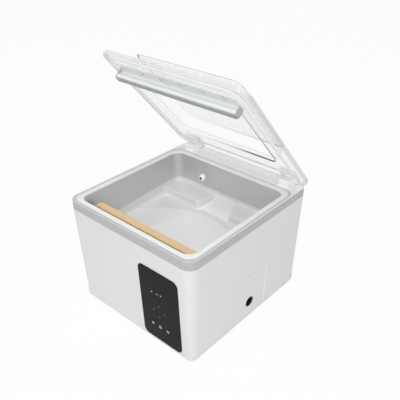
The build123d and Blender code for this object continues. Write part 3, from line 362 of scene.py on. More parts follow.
def rubbery(name, base, roughness=0.7):
    """Rubber, foam or silicone: matt, with a soft bloom and a fine pitted skin."""
    recipe = Recipe(name)
    bloom = recipe.noise(35.0, 4.0)
    pits = recipe.noise(900.0, 2.0)
    return recipe.surface(
        Base_Color=recipe.blend(bloom, base, shade(base, 1.25, 0.01)),
        Roughness=recipe.spread(bloom, roughness, 0.06),
        Normal=recipe.bump(pits, 0.00002, 0.3))


def cast(name, base, roughness=0.55):
    """Sand-cast and painted metal: pebbled."""
    recipe = Recipe(name)
    pebble = recipe.noise(420.0, 3.0)
    return recipe.surface(
        Base_Color=recipe.mottled(pebble, base, 0.85), Metallic=0.2,
        Roughness=recipe.spread(pebble, roughness, 0.08),
        Normal=recipe.bump(pebble, 0.0001, 0.5))


def woven(name, base, pitch=0.0007):
    """Coated glass cloth: a plain weave in relief, sine times sine of the place over the pitch."""
    recipe = Recipe(name)
    x, y, z = recipe.axes()
    turn = radians(360.0) / pitch
    threads = (x * turn).sine() * ((y + z) * turn).sine()
    weave = threads * 0.5 + 0.5
    wax = recipe.noise(60.0, 3.0)
    return recipe.surface(
        Base_Color=recipe.mottled(wax * 0.6 + weave * 0.4, base, 0.86),
        Roughness=recipe.spread(wax, 0.44, 0.06),
        Normal=recipe.bump(weave, 0.00006, 0.5))


def clear_sheet(name, tint, body=0.07, rim=0.22, roughness=0.04, edge_shade_tone=None):
    """Clear acrylic: see-through face on, denser where it is seen along its skin, and there a little darker as
    painted shade.

    Given an edge tone, the attribute edge makes it denser still, and its fourth power darkens it towards that
    tone as
    painted shade: about 0.7 is a greyed side, and 1 a dark line standing in for light bent away at an edge.
    """
    recipe = Recipe(name)
    marks = recipe.noise(5.0, 1.0, recipe.stretched((1.0, 4.0, 4.0)))
    slant = recipe.node("ShaderNodeLayerWeight", values={"Blend": 0.35}, out="Facing")
    tone = recipe.blend(slant, tint, shade(tint, 0.82))
    density = slant * slant * rim + body
    if edge_shade_tone:
        edge = recipe.edge()
        squared = edge * edge
        tone = recipe.blend(squared * squared, tone, edge_shade_tone)
        density = density + edge * 0.8
    return recipe.surface(
        Base_Color=tone, Roughness=recipe.spread(marks, roughness + 0.03, 0.03), Alpha=density, IOR=1.49)


def glossy(name, base, roughness):
    """Polished dark plastic or lacquer with faint wipe marks."""
    recipe = Recipe(name)
    wipes = recipe.noise(18.0, 4.0, recipe.stretched((1.0, 1.0, 4.0)))
    return recipe.surface(
        Base_Color=recipe.blend(wipes, base, shade(base, 1.3, 0.002)),
        Roughness=recipe.spread(wipes, roughness + 0.015, 0.045),
        Normal=recipe.bump(wipes, 0.00003, 0.1), Specular_IOR_Level=0.06)


class SEALER_OT_finishes(bpy.types.Operator):
    """Give every node of the machine its finish"""

    bl_idname = "sealer.finishes"
    bl_label = "Finishes"

    def execute(self, context):
        scene = context.scene
        FINISH.update(self.outside(scene.sealer_shell, scene.sealer_lid, scene.sealer_panel))
        FINISH.update(self.inside(scene.sealer_shell.grain))
        for node, part in NODES.items():
            for holder in part.material_slots:
                holder.material = FINISH[SLOT_OF[node]]
        return {"FINISHED"}

    @staticmethod
    def outside(shell, lid, panel):
        """The finishes of what shows: shell, chamber, lid and control panel."""
        grain = shell.grain
        # The rim's top, above the ledge's edge, gets painted light that grows from the front to the back
        # across the fade span.
        ledge_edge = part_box("top_frame")[1][2] - 0.0006
        fade = (-0.19, 0.19)
        bar_lines = (1.0, 30.0, 30.0)
        return {
            "body_white": moulded("body_plastic", shell.body, grain),
            "rim_grey": two_tone_painted_light("rim_plastic", shell.rim, shell.ledge, ledge_edge, fade, grain),
            "chamber_grey": metal("satin_steel", shell.chamber, 0.30, (30.0, 30.0, 2.0), share=0.45),
            "lip_white": bordered("lip_plastic", shell.lip, shell.lip_border),
            "fitting_white": moulded("fitting_plastic", shell.fitting, grain, 0.36, darker=0.99),
            "ptfe_tan": woven("glass_cloth", shell.cloth),
            "lid_white": moulded("lid_plastic", (0.97, 0.97, 0.97), grain, 0.36),
            "lid_clear": clear_sheet("lid_acrylic", lid.frame_colour, 0.10, 0.10, 0.10, lid.painted_edge_shade),
            "clear": clear_sheet("window_acrylic", lid.window_tint, edge_shade_tone=lid.painted_edge_shade),
            "gasket_white": rubbery("gasket_foam", lid.gasket, 0.75),
            "counter_bar": metal("anodised_bar", lid.bar, 0.45, bar_lines, 0.000002, 0.6),
            "end_cap_grey": moulded("end_cap_plastic", (0.46, 0.48, 0.47), grain),
            "silicone_grey": rubbery("silicone", lid.strip, 0.55),
            "panel_black": glossy("panel_lacquer", panel.face, 0.34),
            "lens_grey": glossy("lens", (0.12, 0.12, 0.125), 0.2),
        }

    @staticmethod
    def inside(grain):
        """The finishes of the works and of the small parts at the rear and below."""
        return {
            "black_plastic": moulded("black_plastic", (0.030, 0.030, 0.032), grain, 0.45, darker=0.9),
            "rubber": rubbery("foot_rubber", (0.022, 0.022, 0.022)),
            "hose_black": rubbery("hose_rubber", (0.030, 0.030, 0.030), 0.6),
            "steel": metal("sheet_steel", (0.60, 0.60, 0.61), 0.42),
            "screw_steel": metal("screw_steel", (0.66, 0.66, 0.67), 0.36),
            "brass": metal("brass", (0.75, 0.58, 0.28), 0.36),
            "aluminium": metal("plain_aluminium", (0.70, 0.71, 0.71), 0.35),
            "core_steel": metal("lamination_steel", (0.25, 0.25, 0.26), 0.45, (60.0, 2.0, 2.0)),
            "sight_glass": clear_sheet("oil_glass", (0.30, 0.17, 0.05), 0.6, 0.3),
            "board_green": moulded("board_lacquer", (0.015, 0.085, 0.040), grain, 0.36, darker=0.8),
            "cast_grey": cast("pump_casting", (0.16, 0.17, 0.18)),
            "coil_copper": rubbery("coil_tape", (0.30, 0.14, 0.04), 0.5),
        }


# ================================================================ surfaces
def rounded_path(width, depth, radius, middle=(0.0, 0.0), steps=9):
    """Rounded rectangle, walked anticlockwise from its right side.

    Each point is its corner's centre plus the radius times the cosine and sine of its angle.
    """
    turns = np.linspace(0.0, np.pi / 2, steps)
    angles = (np.arange(4)[:, None] * np.pi / 2 + turns).ravel()
    quadrants = np.repeat([(1, 1), (-1, 1), (-1, -1), (1, -1)], steps, axis=0)
    centres = quadrants * (width / 2 - radius, depth / 2 - radius)
    return centres + radius * np.stack((np.cos(angles), np.sin(angles)), axis=1) + middle


def outward(path):
    """Offset direction of each point: the sum of its two outward normals over one plus their product."""
    ahead = np.roll(path, -1, axis=0) - path
    ahead /= np.linalg.norm(ahead, axis=1, keepdims=True)
    normals = np.stack((ahead[:, 1], -ahead[:, 0]), axis=1)
    before = np.roll(normals, 1, axis=0)
    return (before + normals) / (1 + (before * normals).sum(axis=1, keepdims=True))


def ring(path, offset, level):
    """A path moved outwards by an offset and lifted to a level."""
    moved = path + outward(path) * offset
    return np.column_stack((moved, np.full(len(path), level)))


def quarter(count, first, second):
    """Pairs (cosine, sine) of angles from first to second, on a quarter of a circle of radius one."""
    turns = np.linspace(first, second, count)
    return np.column_stack((np.cos(turns), np.sin(turns)))


def stack_faces(rows, columns, loop, first=0):
    """Quads between neighbouring rings of a stack that closes on itself, or has a cap at each end."""
    index = np.arange(rows * columns).reshape(rows, columns) + first
    low = index if loop else index[:-1]
    high = np.roll(index, -1, axis=0) if loop else index[1:]
    sides = np.stack((low, np.roll(low, -1, axis=1), np.roll(high, -1, axis=1), high), axis=-1)
    caps = [] if loop else [index[0][::-1].tolist(), index[-1].tolist()]
    return sides.reshape(-1, 4).tolist() + caps


def skin(name, rings, loop=True, values=None):
    """Mesh over a stack of closed rings; values for its rings or its points become the attribute edge."""
    grid = np.stack(rings)
    rows, columns = grid.shape[:2]
    if values is not None:
        values = np.broadcast_to(np.reshape(values, (rows, -1)), (rows, columns)).ravel()
    return closed_mesh(name, grid.reshape(-1, 3), stack_faces(rows, columns, loop), values)


def closed_mesh(name, points, faces, shares=None):
    """Mesh of closed shells with their faces outwards.

    A face's swing is the cross product of its sides. Swing times place, summed over the faces, has the sign of
    the volume, and the faces are turned where that is negative.
    """
    corners = points[np.array([face[:3] for face in faces])]
    opposite = points[np.array([face[-1] for face in faces])]
    swing = np.cross(corners[:, 1] - corners[:, 0], corners[:, 2] - corners[:, 0])
    swing += np.cross(corners[:, 2] - corners[:, 0], opposite - corners[:, 0])
    if (swing * corners.mean(axis=1)).sum() < 0:
        faces = [face[::-1] for face in faces]
    mesh = bpy.data.meshes.new(name)
    mesh.from_pydata(points.tolist(), [], faces)
    if shares is not None:
        layer = mesh.attributes.new("edge", "FLOAT", "POINT")
        layer.data.foreach_set("value", shares.astype(np.float32))
    mesh.shade_smooth()
    mesh.set_sharp_from_angle(angle=radians(35.0))
    return mesh


def corners_of(mesh):
    """All corners of a mesh, one to a row."""
    places = np.empty(len(mesh.vertices) * 3)
    mesh.vertices.foreach_get("co", places)
    return places.reshape(-1, 3)


def arrays(box):
    """A box's lowest and highest corners, as arrays."""
    return [np.array(corner) for corner in box]


def joint_named(name):
    """A joint's entry in the record."""
    return next(entry for entry in frame["record"]["behaviour"]["joints"] if entry["name"] == name)


def ribbon(path, width, low, high, closed=False):
    """Cross sections of a flat line: each point moved half a width to both sides, at two levels."""
    if closed:
        side = outward(path)
    else:
        ahead = np.gradient(path, axis=0)
        side = np.stack((ahead[:, 1], -ahead[:, 0]), axis=1) / np.linalg.norm(ahead, axis=1, keepdims=True)
    left, right = path - side * width / 2, path + side * width / 2
    corners = [(left, low), (right, low), (right, high), (left, high)]
    return np.stack([np.column_stack((line, np.full(len(path), level))) for line, level in corners], axis=1)


def sign_mesh(name, strokes, width, low, high):
    """Lines of one width as closed flat shells in one mesh; each stroke is a path and whether it closes."""
    points, faces = [], []
    for path, closed in strokes:
        sections = ribbon(np.asarray(path, dtype=float), width, low, high, closed)
        faces += stack_faces(len(sections), 4, closed, sum(len(part) for part in points))
        points.append(sections.reshape(-1, 3))
    return closed_mesh(name, np.vstack(points), faces)


def arc_path(radius, start, end, count=40, middle=(0.0, 0.0)):
    """Points on a circle: its middle plus radius times (cos, sin) of angles in degrees."""
    turns = np.radians(np.linspace(start, end, count))
    return np.column_stack((np.cos(turns), np.sin(turns))) * radius + middle


class TiltedFrame:
    """A frame that stands askew in the object's own: an origin, and its X, Y and Z as rows."""

    def __init__(self, origin, axes):
        self.origin = np.array(origin)
        self.axes = np.array(axes)

    def box(self, node):
        """A node's lowest and highest corners in this frame."""
        local = (corners_of(NODES[node].data) - self.origin) @ self.axes.T
        return local.min(axis=0), local.max(axis=0)

    def place(self, mesh):
        """Move a mesh out of this frame: the origin plus each coordinate times its axis."""
        places = corners_of(mesh) @ self.axes + self.origin
        mesh.vertices.foreach_set("co", places.ravel())
        mesh.update()
        return mesh


def face_frame(joint_name, sign):
    """A leaning face of the body: X to the right along it, Y up it, and Z out of it along the joint's axis."""
    out = np.array(joint_named(joint_name)["axis"]) * sign
    right = np.cross((0.0, 0.0, 1.0), out)
    right /= np.linalg.norm(right)
    return TiltedFrame((0.0, 0.0, 0.0), (right, np.cross(out, right), out))


def lid_frame():
    """The lid as it stands open: X along the hinge, Y towards the hinge, Z out of its outer face."""
    joint = joint_named("lid_hinge")
    turn = radians(joint["range_deg"][1])
    across = (0, np.cos(turn), -np.sin(turn))
    return TiltedFrame(joint["pos_m"], ((1, 0, 0), across, (0, np.sin(turn), np.cos(turn))))


def piece(name, mesh, body, slot, material=None):
    """Put a mesh into the scene as a piece that rides on a body, in its slot's finish or in its own."""
    mesh.materials.clear()
    mesh.materials.append(material or FINISH[slot])
    made = bpy.data.objects.new(name, mesh)
    bpy.context.scene.collection.objects.link(made)
    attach(made, body)
    return made


# ================================================================ chamber
def softened_copy(node, name, width, steps, chosen):
    """A closed copy of a node's solid, its chosen edges rounded and marked by the attribute edge."""
    merged, flat = 0.00002, radians(0.5)
    form = bmesh.new()
    form.from_mesh(NODES[node].data)
    bmesh.ops.remove_doubles(form, verts=form.verts, dist=merged)
    bmesh.ops.dissolve_limit(form, angle_limit=flat, verts=form.verts, edges=form.edges)
    edges = [edge for edge in form.edges if chosen(edge)]
    made = bmesh.ops.bevel(form, geom=edges, offset=width, offset_type="OFFSET", segments=steps, profile=0.5,
                           affect="EDGES", clamp_overlap=True)
    layer = form.verts.layers.float.new("edge")
    rounded = set(made["faces"])
    for corner in form.verts:
        corner[layer] = float(all(face in rounded for face in corner.link_faces))
    bmesh.ops.recalc_face_normals(form, faces=form.faces)
    mesh = bpy.data.meshes.new(name)
    form.to_mesh(mesh)
    form.free()
    mesh.shade_smooth()
    mesh.set_sharp_from_angle(angle=radians(28.0))
    return mesh


def pressed_steel(name, shaded_wall_tone, lit_pan_tone, pan_level, floor_level, light_pool):
    """Satin pressed steel: painted shade on the upright walls, painted light in the pan and painted highlights
    on its rounded corners.

    The pan lies below a level that climbs to the back; painted shade falls on it outside a round pool of light
    and up the step.
    """
    recipe = Recipe(name)
    x, y, z = recipe.axes()
    lines = recipe.noise(6.0, 1.0)
    climb, border, roughness, swing = 0.045, 0.0006, 0.31, 0.02
    light_pool_border, flat, foot, step_face = 0.003, 0.001, 0.002, 0.012
    # Shares of the lit pan's tone for the painted shade outside the pool of light and up the step, and the
    # painted highlight's near-white tone.
    pool_shade_share, raised_share, raised_part, highlight_tone = 0.90, 0.86, 0.8, (0.98, 0.98, 0.97)
    # Below a level that climbs to the back the steel takes the lit pan's tone, above it the walls' painted
    # shade.
    in_pan = recipe.ramp(z - y * climb, pan_level + border, pan_level - border)
    painted_highlight = recipe.edge()
    tone = recipe.blend(in_pan, recipe.mottled(lines, shaded_wall_tone, 0.97), recipe.mottled(lines, lit_pan_tone, 0.98))
    middle, radius = light_pool
    from_middle = y - middle
    # Painted shade on the floor outside a round pool of light.
    outside_pool = recipe.ramp(x * x + from_middle * from_middle, radius ** 2, (radius + light_pool_border) ** 2)
    on_floor = recipe.ramp(z, floor_level + foot, floor_level + flat)
    # Painted shade up the step and on the walls below the pan's level.
    raised = in_pan * recipe.ramp(z, floor_level + foot, floor_level + step_face)
    tone = recipe.blend(outside_pool * on_floor, tone, shade(lit_pan_tone, pool_shade_share))
    tone = recipe.blend(raised * raised_part, tone, shade(lit_pan_tone, raised_share))
    # Painted highlight: the rounded corners near white and fully metallic.
    tone = recipe.blend(painted_highlight, tone, highlight_tone)
    wall_share, pan_loss, pan_haze = 0.5, 0.4, 0.1
    return recipe.surface(
        Base_Color=tone, Metallic=(1.0 - in_pan * pan_loss) * wall_share * (1.0 - painted_highlight) + painted_highlight,
        Roughness=recipe.spread(lines, roughness, swing) + in_pan * pan_haze)


class SEALER_OT_chamber(bpy.types.Operator):
    """Give the chamber the soft inner corners of a pressed tub"""

    bl_idname = "sealer.chamber"
    bl_label = "Chamber"

    def execute(self, context):
        settings = context.scene.sealer_shell
        floor_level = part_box("chamber_tub")[0][2] + settings.tub_wall
        step_level = floor_level + settings.step_height
        slack, sharp, pan_above = 0.0003, radians(35.0), 0.0015

        def chosen(edge):
            levels = [corner.co.z for corner in edge.verts]
            inside = min(levels) > floor_level - slack and max(levels) < step_level
            return inside and len(edge.link_faces) == 2 and edge.calc_face_angle(0) > sharp

        mesh = softened_copy("chamber_tub", "pressed_chamber", settings.press_radius, 5, chosen)
        # The steel's colours paint light and shade: a lit pan, shaded walls and a round pool of light on the
        # floor.
        light_pool = (settings.light_pool_middle, settings.light_pool_radius)
        steel = pressed_steel("pressed_steel", settings.shaded_chamber_wall, settings.chamber,
                              step_level + pan_above, floor_level, light_pool)
        made = piece("pressed_chamber", mesh, "body", "chamber_grey", steel)
        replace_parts(made, "chamber_tub")
        return {"FINISHED"}


class SEALER_OT_lip(bpy.types.Operator):
    """Lay the sealing lip round the chamber's mouth"""

    bl_idname = "sealer.lip"
    bl_label = "Sealing lip"

    def execute(self, context):
        """A profile carried between the inner and the outer outline: rounded bead, flat, grey border.

        Each of its points is a reach from the inner outline, a level, and whether it lies in the border.
        """
        settings = context.scene.sealer_shell
        low, high = arrays(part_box("chamber_lip"))
        ledge_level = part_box("top_frame")[1][2]
        width, bead = settings.lip_width, settings.lip_bead
        size, middle = high[:2] - low[:2], (high[:2] + low[:2]) / 2
        outer = rounded_path(*size, settings.lip_radius, middle, 13)
        inner = rounded_path(*(size - 2 * width), settings.lip_radius, middle, 13)
        crown, top, foot = 0.0016, high[2], low[2]
        flat = top - 0.0005
        border = width - 0.0042
        profile = [(0.0, foot, 0.0)]
        profile += [(crown * (1 - a), top - crown * (1 - b), 0.0) for a, b in quarter(5, 0.0, np.pi / 2)]
        profile += [(bead - 0.0008, top, 0.0), (bead, top - 0.00015, 0.0), (bead + 0.0006, flat, 0.0)]
        profile += [(border, flat, 0.0), (border + 0.0004, flat - 0.0002, 1.0)]
        profile += [(width - 0.0012, ledge_level + 0.0003, 1.0), (width - 0.0002, ledge_level + 0.0001, 1.0)]
        profile += [(width, ledge_level - 0.0003, 1.0), (width, foot, 1.0)]
        reaches, levels, in_border = np.array(profile).T
        rings = [np.column_stack((inner + (outer - inner) * reach / width, np.full(len(inner), level)))
                 for reach, level in zip(reaches, levels)]
        mesh = skin("sealing_lip", rings, values=in_border)
        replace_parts(piece("sealing_lip", mesh, "body", "lip_white"), "chamber_lip")
        return {"FINISHED"}


class SEALER_OT_seal(bpy.types.Operator):
    """Wrap the seal bar in glass cloth over its heating wire"""

    bl_idname = "sealer.seal"
    bl_label = "Seal bar"

    def execute(self, context):
        """A section carried along the bar: rounded shoulders, the wire's ridge, and inside the bar's sides."""
        low, high = arrays(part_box("seal_bar_cover"))
        bar_low, bar_high = arrays(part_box("seal_bar"))
        swell, crown, hem = 0.0012, 0.0018, 0.001
        ridge, ridge_top, slope = 0.0017, 0.0002, 0.0007
        middle, top, foot = (low[1] + high[1]) / 2, high[2] - ridge_top, low[2]
        half = (high[1] - low[1]) / 2 + swell
        inside = (bar_high[1] - bar_low[1]) / 2 + 0.0001
        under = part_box("heating_band")[1][2] + 0.00005
        side = [(half - 0.0006, foot), (half, foot + hem), (half, top - crown)]
        side += [(half - crown * (1 - a), top - crown * (1 - b)) for a, b in quarter(5, 0.0, np.pi / 2)]
        side += [(ridge + slope, top), (ridge, top + ridge_top * 0.75), (ridge - 0.0006, top + ridge_top)]
        outside = side + [(-y, z) for y, z in reversed(side)]
        section = np.array(outside + [(-inside, foot), (-inside, under), (inside, under), (inside, foot)])
        cut_edge, straight = 0.0006, 0.02
        left = np.array([low[0], low[0] + cut_edge])
        right = np.array([high[0] - cut_edge, high[0]])
        ends = np.concatenate((left, np.linspace(low[0] + straight, high[0] - straight, 6), right))
        draw = np.where(np.isin(ends, (low[0], high[0])), 0.94, 1.0)
        rings = [np.column_stack((np.full(len(section), x), middle + section[:, 0] * share, section[:, 1]))
                 for x, share in zip(ends, draw)]
        mesh = skin("cloth_cover", rings, False)
        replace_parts(piece("cloth_cover", mesh, "seal_bar", "ptfe_tan"), "seal_bar_cover")
        return {"FINISHED"}


class SEALER_OT_nozzle(bpy.types.Operator):
    """Give the suction nozzle a black-lined bore as painted shade, a collar and a tab"""

    bl_idname = "sealer.nozzle"
    bl_label = "Nozzle"

    def execute(self, context):
        """Turned surfaces about the nozzle's axis, from radii and depths behind its mouth, and a tab."""
        low, high = arrays(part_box("suction_nozzle"))
        radius = 0.007
        middle, mouth, level = (low[0] + high[0]) / 2, low[1], high[2] - radius
        bore = [(0.0030, -0.0003), (0.0032, -0.0005), (0.0034, -0.0003), (0.0034, 0.0002),
                (0.0029, 0.0004), (0.0029, 0.009), (0.0027, 0.009), (0.0027, 0.0004)]
        collar = [(radius + 0.0001, 0.0045), (radius + 0.0018, 0.0050), (radius + 0.0022, 0.0058),
                  (radius + 0.0018, 0.0066), (radius + 0.0001, 0.0072)]
        turns = np.linspace(0.0, 2 * np.pi, 32, endpoint=False)

        def revolved(name, profile, slot):
            rings = [np.column_stack((middle + reach * np.cos(turns), np.full(len(turns), mouth + depth),
                                      level + reach * np.sin(turns))) for reach, depth in profile]
            piece(name, skin(name, rings), "body", slot)

        # The bore's black lining is painted shade: a dark sleeve where the hole lies in shade.
        revolved("nozzle_bore", bore, "rubber")
        revolved("nozzle_collar", collar, "fitting_white")
        around = rounded_path(0.0030, 0.0020, 0.0009, steps=4)
        aside, lean, behind, sunk, height, taper = 0.002, 0.0045, 0.006, 0.001, 0.010, 0.5
        rings = []
        for rise in np.linspace(0.0, 1.0, 7):
            x, y = (around * (1 - taper * rise ** 2)).T
            z = np.full(len(around), level + radius - sunk + height * rise)
            rings.append(np.column_stack((middle + aside + lean * rise + x, mouth + behind + y, z)))
        piece("nozzle_tab", skin("nozzle_tab", rings, False), "body", "fitting_white")
        return {"FINISHED"}


# ================================================================ panel
MILLIMETRE = 0.001


def key_signs():
    """The keys' signs in millimetres about each key's middle: heat waves, a gauge and a standby mark."""
    rise = np.linspace(-3.0, 3.0, 19)
    waves = [(np.column_stack((x + 0.7 * np.sin(rise * 1.05), rise)), False) for x in (-2.5, 0.0, 2.5)]
    gauge = [(arc_path(3.5, 0, 351), True), ([(-0.7, -0.7), (0.6, 0.6), (1.9, 1.9)], False)]
    standby = [(arc_path(3.3, 125, 415), False), ([(0.0, 0.9), (0.0, 2.4), (0.0, 4.2)], False)]
    return {"key_left": waves, "key_middle": gauge, "key_right": standby}


def row_signs():
    """The upper row in millimetres: a triangle, rising bars, and a drop, an ellipse narrowed on top."""
    across, level, foot = -21.3, 146.0, 145.2
    triangle = (arc_path(2.0, 90, 330, 3, (across, level)), True)
    bars = [([(x, foot), (x, level), (x, foot + 0.4 + height)], False)
            for x, height in ((-8.6, 1.4), (-6.0, 2.4), (-3.4, 3.4))]
    turn = np.radians(np.arange(0, 360, 15))
    narrowed = 1 - 0.5 * np.clip(np.sin(turn), 0, 1)
    drop = np.column_stack((1.4 * np.cos(turn) * narrowed, 1.9 * np.sin(turn))) + (6.2, 148.2)
    return [triangle, *bars, (drop, True)]


class SEALER_OT_signs(bpy.types.Operator):
    """Print the plain signs on the control panel and its keys"""

    bl_idname = "sealer.signs"
    bl_label = "Panel signs"

    def execute(self, context):
        settings = context.scene.sealer_panel
        face = face_frame("key_left_press", -1)
        ink = moulded("panel_print", settings.print_colour, 0.0004, 0.4, 0.00001)
        depth = settings.print_depth

        def printed(name, body, strokes, middle, stroke, level):
            placed = [(np.asarray(path) * MILLIMETRE + middle, closed) for path, closed in strokes]
            mesh = sign_mesh(name, placed, stroke, level - depth / 2, level + depth)
            piece(name, face.place(mesh), body, "panel_black", ink)

        for key, strokes in key_signs().items():
            low, high = face.box(key)
            printed(f"{key}_sign", key, strokes, (low[:2] + high[:2]) / 2, settings.stroke, high[2])
        low, high = face.box("control_panel")
        below = 0.007
        foot = ((low[0] + high[0]) / 2, low[1] - below)
        printed("panel_signs", "body", row_signs(), foot, settings.fine_stroke, high[2])
        return {"FINISHED"}


class SEALER_OT_hatch(bpy.types.Operator):
    """Run a bright bead along the service hatch's rear edge, a painted highlight"""

    bl_idname = "sealer.hatch"
    bl_label = "Hatch bead"

    def execute(self, context):
        """A low half-round bar, its ends drawn in: width times cosine, height times sine."""
        face = face_frame("hatch_pull", 1)
        low, high = face.box("service_hatch")
        half, height, sunk = 0.0011, 0.0007, 0.0004
        from_edge = 0.0016
        turns = np.linspace(0.0, np.pi, 9)
        section = np.column_stack((half * np.cos(turns), height * np.sin(turns)))
        section = np.vstack((section, [(-half, -sunk), (half, -sunk)]))
        shares = (0.004, 0.0045, 0.02, 0.5, 0.98, 0.9955, 0.996)
        sizes = (0.4, 1.0, 1.0, 1.0, 1.0, 1.0, 0.4)
        span = high[1] - low[1]
        rings = []
        for share, size in zip(shares, sizes):
            x, z = (section * size).T
            y = np.full(len(section), low[1] + span * share)
            rings.append(np.column_stack((high[0] - from_edge + x, y, high[2] + z)))
        mesh = face.place(skin("hatch_bead", rings, False))
        # The bead takes the white fitting finish, paler than the body's: a painted highlight along the hatch's
        # edge.
        piece("hatch_bead", mesh, "hatch", "body_white", FINISH["fitting_white"])
        return {"FINISHED"}


# ================================================================ lid
def notched(path, back, notches, depth):
    """A path with points added along its back side: down, along and up again for each hinge notch."""
    wide, narrow = notches
    places = [(wide, back), (wide, depth), (narrow, depth), (narrow, back)]
    places += [(-x, y) for x, y in reversed(places)]
    steps = len(path) // 4
    return np.vstack((path[:steps], places, path[steps:]))


class SEALER_OT_lid(bpy.types.Operator):
    """Mould the clear lid: frame, raised window and foam gasket"""

    bl_idname = "sealer.lid"
    bl_label = "Lid"

    def execute(self, context):
        settings = context.scene.sealer_lid
        lid = lid_frame()
        self.frame(lid, settings)
        self.dome(lid, settings)
        self.gasket(lid, settings)
        return {"FINISHED"}

    @staticmethod
    def outlines(lid, settings):
        """The lid's notched outline, the shoulder inside it and the opening, and the outline's painted grey.

        The three paths have as many points each, so the opening's rear side gets as many as the notches have.
        """
        gap = settings.skin_gap
        (left, front), (right, back) = (corner[:2] for corner in lid.box("lid_frame"))
        ears_low, ears_high = lid.box("hinge_clevis_right")
        wide, deep = right - left - 2 * gap, back - front - 2 * gap
        notches = (ears_high[0] + gap, ears_low[0] - gap)
        notch_depth = ears_low[1] - gap
        outer = rounded_path(wide, deep, settings.frame_radius, (0.0, (front + back) / 2))
        outline = notched(outer, back - gap, notches, notch_depth)

        inset, radius = 0.006, 0.018
        behind = notch_depth - inset
        inner = rounded_path(right - left - 2 * inset, behind - front - 2 * inset, radius,
                             (0.0, (behind + front) / 2))
        wider, floor = 0.001, len(inner) // 4 + 1
        shoulder = notched(inner, behind - inset, (notches[0] + wider, notches[1] - wider), behind - inset)
        # The points at the notches' floors stand beside the outline's own.
        shoulder[floor:floor + 2, 0] = notches
        shoulder[floor + 4:floor + 6, 0] = -notches[1], -notches[0]

        wide, deep = settings.window_size
        middle = settings.window_middle
        opening = rounded_path(wide + 2 * gap, deep + 2 * gap, settings.window_radius, (0.0, middle))
        side, missing, reach = len(opening) // 4, len(outline) - len(opening), 0.86
        straight = np.linspace(reach, -reach, missing) * (wide / 2 - settings.window_radius)
        added = np.column_stack((straight, np.full(missing, middle + deep / 2 + gap)))
        opening = np.vstack((opening[:side], added, opening[side:]))

        in_notch = np.isclose(np.abs(outline[:, 0])[:, None], notches).any(axis=1)
        return outline, shoulder, opening, np.where(in_notch, 0.0, settings.side_shade)

    def frame(self, lid, settings):
        """Section carried round the opening and the outline: straight walls, a quarter circle at each edge."""
        low, high = lid.box("lid_frame")
        under, top = low[2] + settings.skin_gap, high[2] - settings.skin_gap
        outline, shoulder, opening, shaded_sides = self.outlines(lid, settings)
        bead, crown, foot = 0.0008, settings.top_round, 0.001
        run_out, line_end, under_edge = 0.0015, 0.0003, 0.0025
        line_level, line_slope = 0.95, (3.4, 2.2, 0.0)
        rings, values = [], []

        def add(path, offset, level, line=0.0, side_grey=0.0):
            """One ring; the painted dark line fades towards the lid's front left, and the outer sides take
            painted grey.
            """
            rings.append(ring(path, offset, level))
            fade = np.clip(line_level + rings[-1] @ line_slope, 0.0, 1.0)
            values.append(line * fade + side_grey * shaded_sides)

        add(opening, bead + run_out, under)
        for a, b in quarter(4, np.pi / 2, 0.0):
            add(opening, bead * (1 - a), under + bead * (1 - b), line=1.0)
        add(opening, 0.0, under + settings.edge_line, line=1.0)
        add(opening, 0.0, under + settings.edge_line + line_end)
        for a, b in quarter(4, 0.0, np.pi / 2):
            add(opening, bead * (1 - a), top - bead * (1 - b))
        add(shoulder, 0.0, top)
        for a, b in quarter(6, np.pi / 2, 0.0):
            add(outline, -crown * (1 - a), top - crown * (1 - b), side_grey=1 - b)
        for a, b in quarter(4, 0.0, np.pi / 2):
            add(outline, -foot * (1 - a), under + foot * (1 - b), side_grey=1.0)
        add(outline, -under_edge, under)
        add(shoulder, 0.0, under)
        made = piece("lid_moulding", lid.place(skin("lid_moulding", rings, True, values)), "lid", "lid_clear")
        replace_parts(made, "lid_frame")

    @staticmethod
    def dome(lid, settings):
        """A rounded block that draws in as it rises to a quarter circle's edge, and a like hollow inside."""
        gap, wall, flange = settings.skin_gap, settings.dome_wall, settings.dome_flange
        lean, crown = settings.dome_lean, settings.dome_round
        (left, front, under), (right, back, top) = lid.box("lid_window")
        height = top - under
        foot = rounded_path(right - left - 2 * flange, back - front - 2 * flange, settings.dome_radius,
                            (0.0, (front + back) / 2))
        flange_top, edge, fillet, run_out = 0.0025, 0.001, 0.0012, 0.0016
        inner_crown, inner_lean = 0.002, 0.85
        line_level, line_slope, line_rings = 0.15, (4.0, -4.5, 0.0), 3
        rings, values = [], []

        def add(inset, rise, line=0.0):
            """One ring; the painted dark line at the window's top edge fades from its front right."""
            rings.append(ring(foot, -inset, under + rise))
            values.append(line * np.clip(line_level + rings[-1] @ line_slope, 0.0, 1.0))

        add(lean + crown + run_out, height)
        for step, (a, b) in enumerate(quarter(8, np.pi / 2, 0.0)):
            inset = lean * (1 - (1 - b) * crown / height) + crown * (1 - a)
            add(inset, height - crown * (1 - b), float(step < line_rings))
        add(lean / height * flange / 2, flange / 2)
        add(-fillet, flange_top)
        for a, b in quarter(4, np.pi / 2, 0.0):
            add(-flange + edge * (1 - a), flange_top - edge * (1 - b))
        add(-flange, gap)
        add(wall, gap)
        for a, b in quarter(5, 0.0, np.pi / 2):
            add(wall + lean * inner_lean + inner_crown * (1 - a), height - wall - inner_crown * (1 - b))
        made = piece("raised_window", lid.place(skin("raised_window", rings, False, values)), "lid", "clear")
        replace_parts(made, "lid_window")

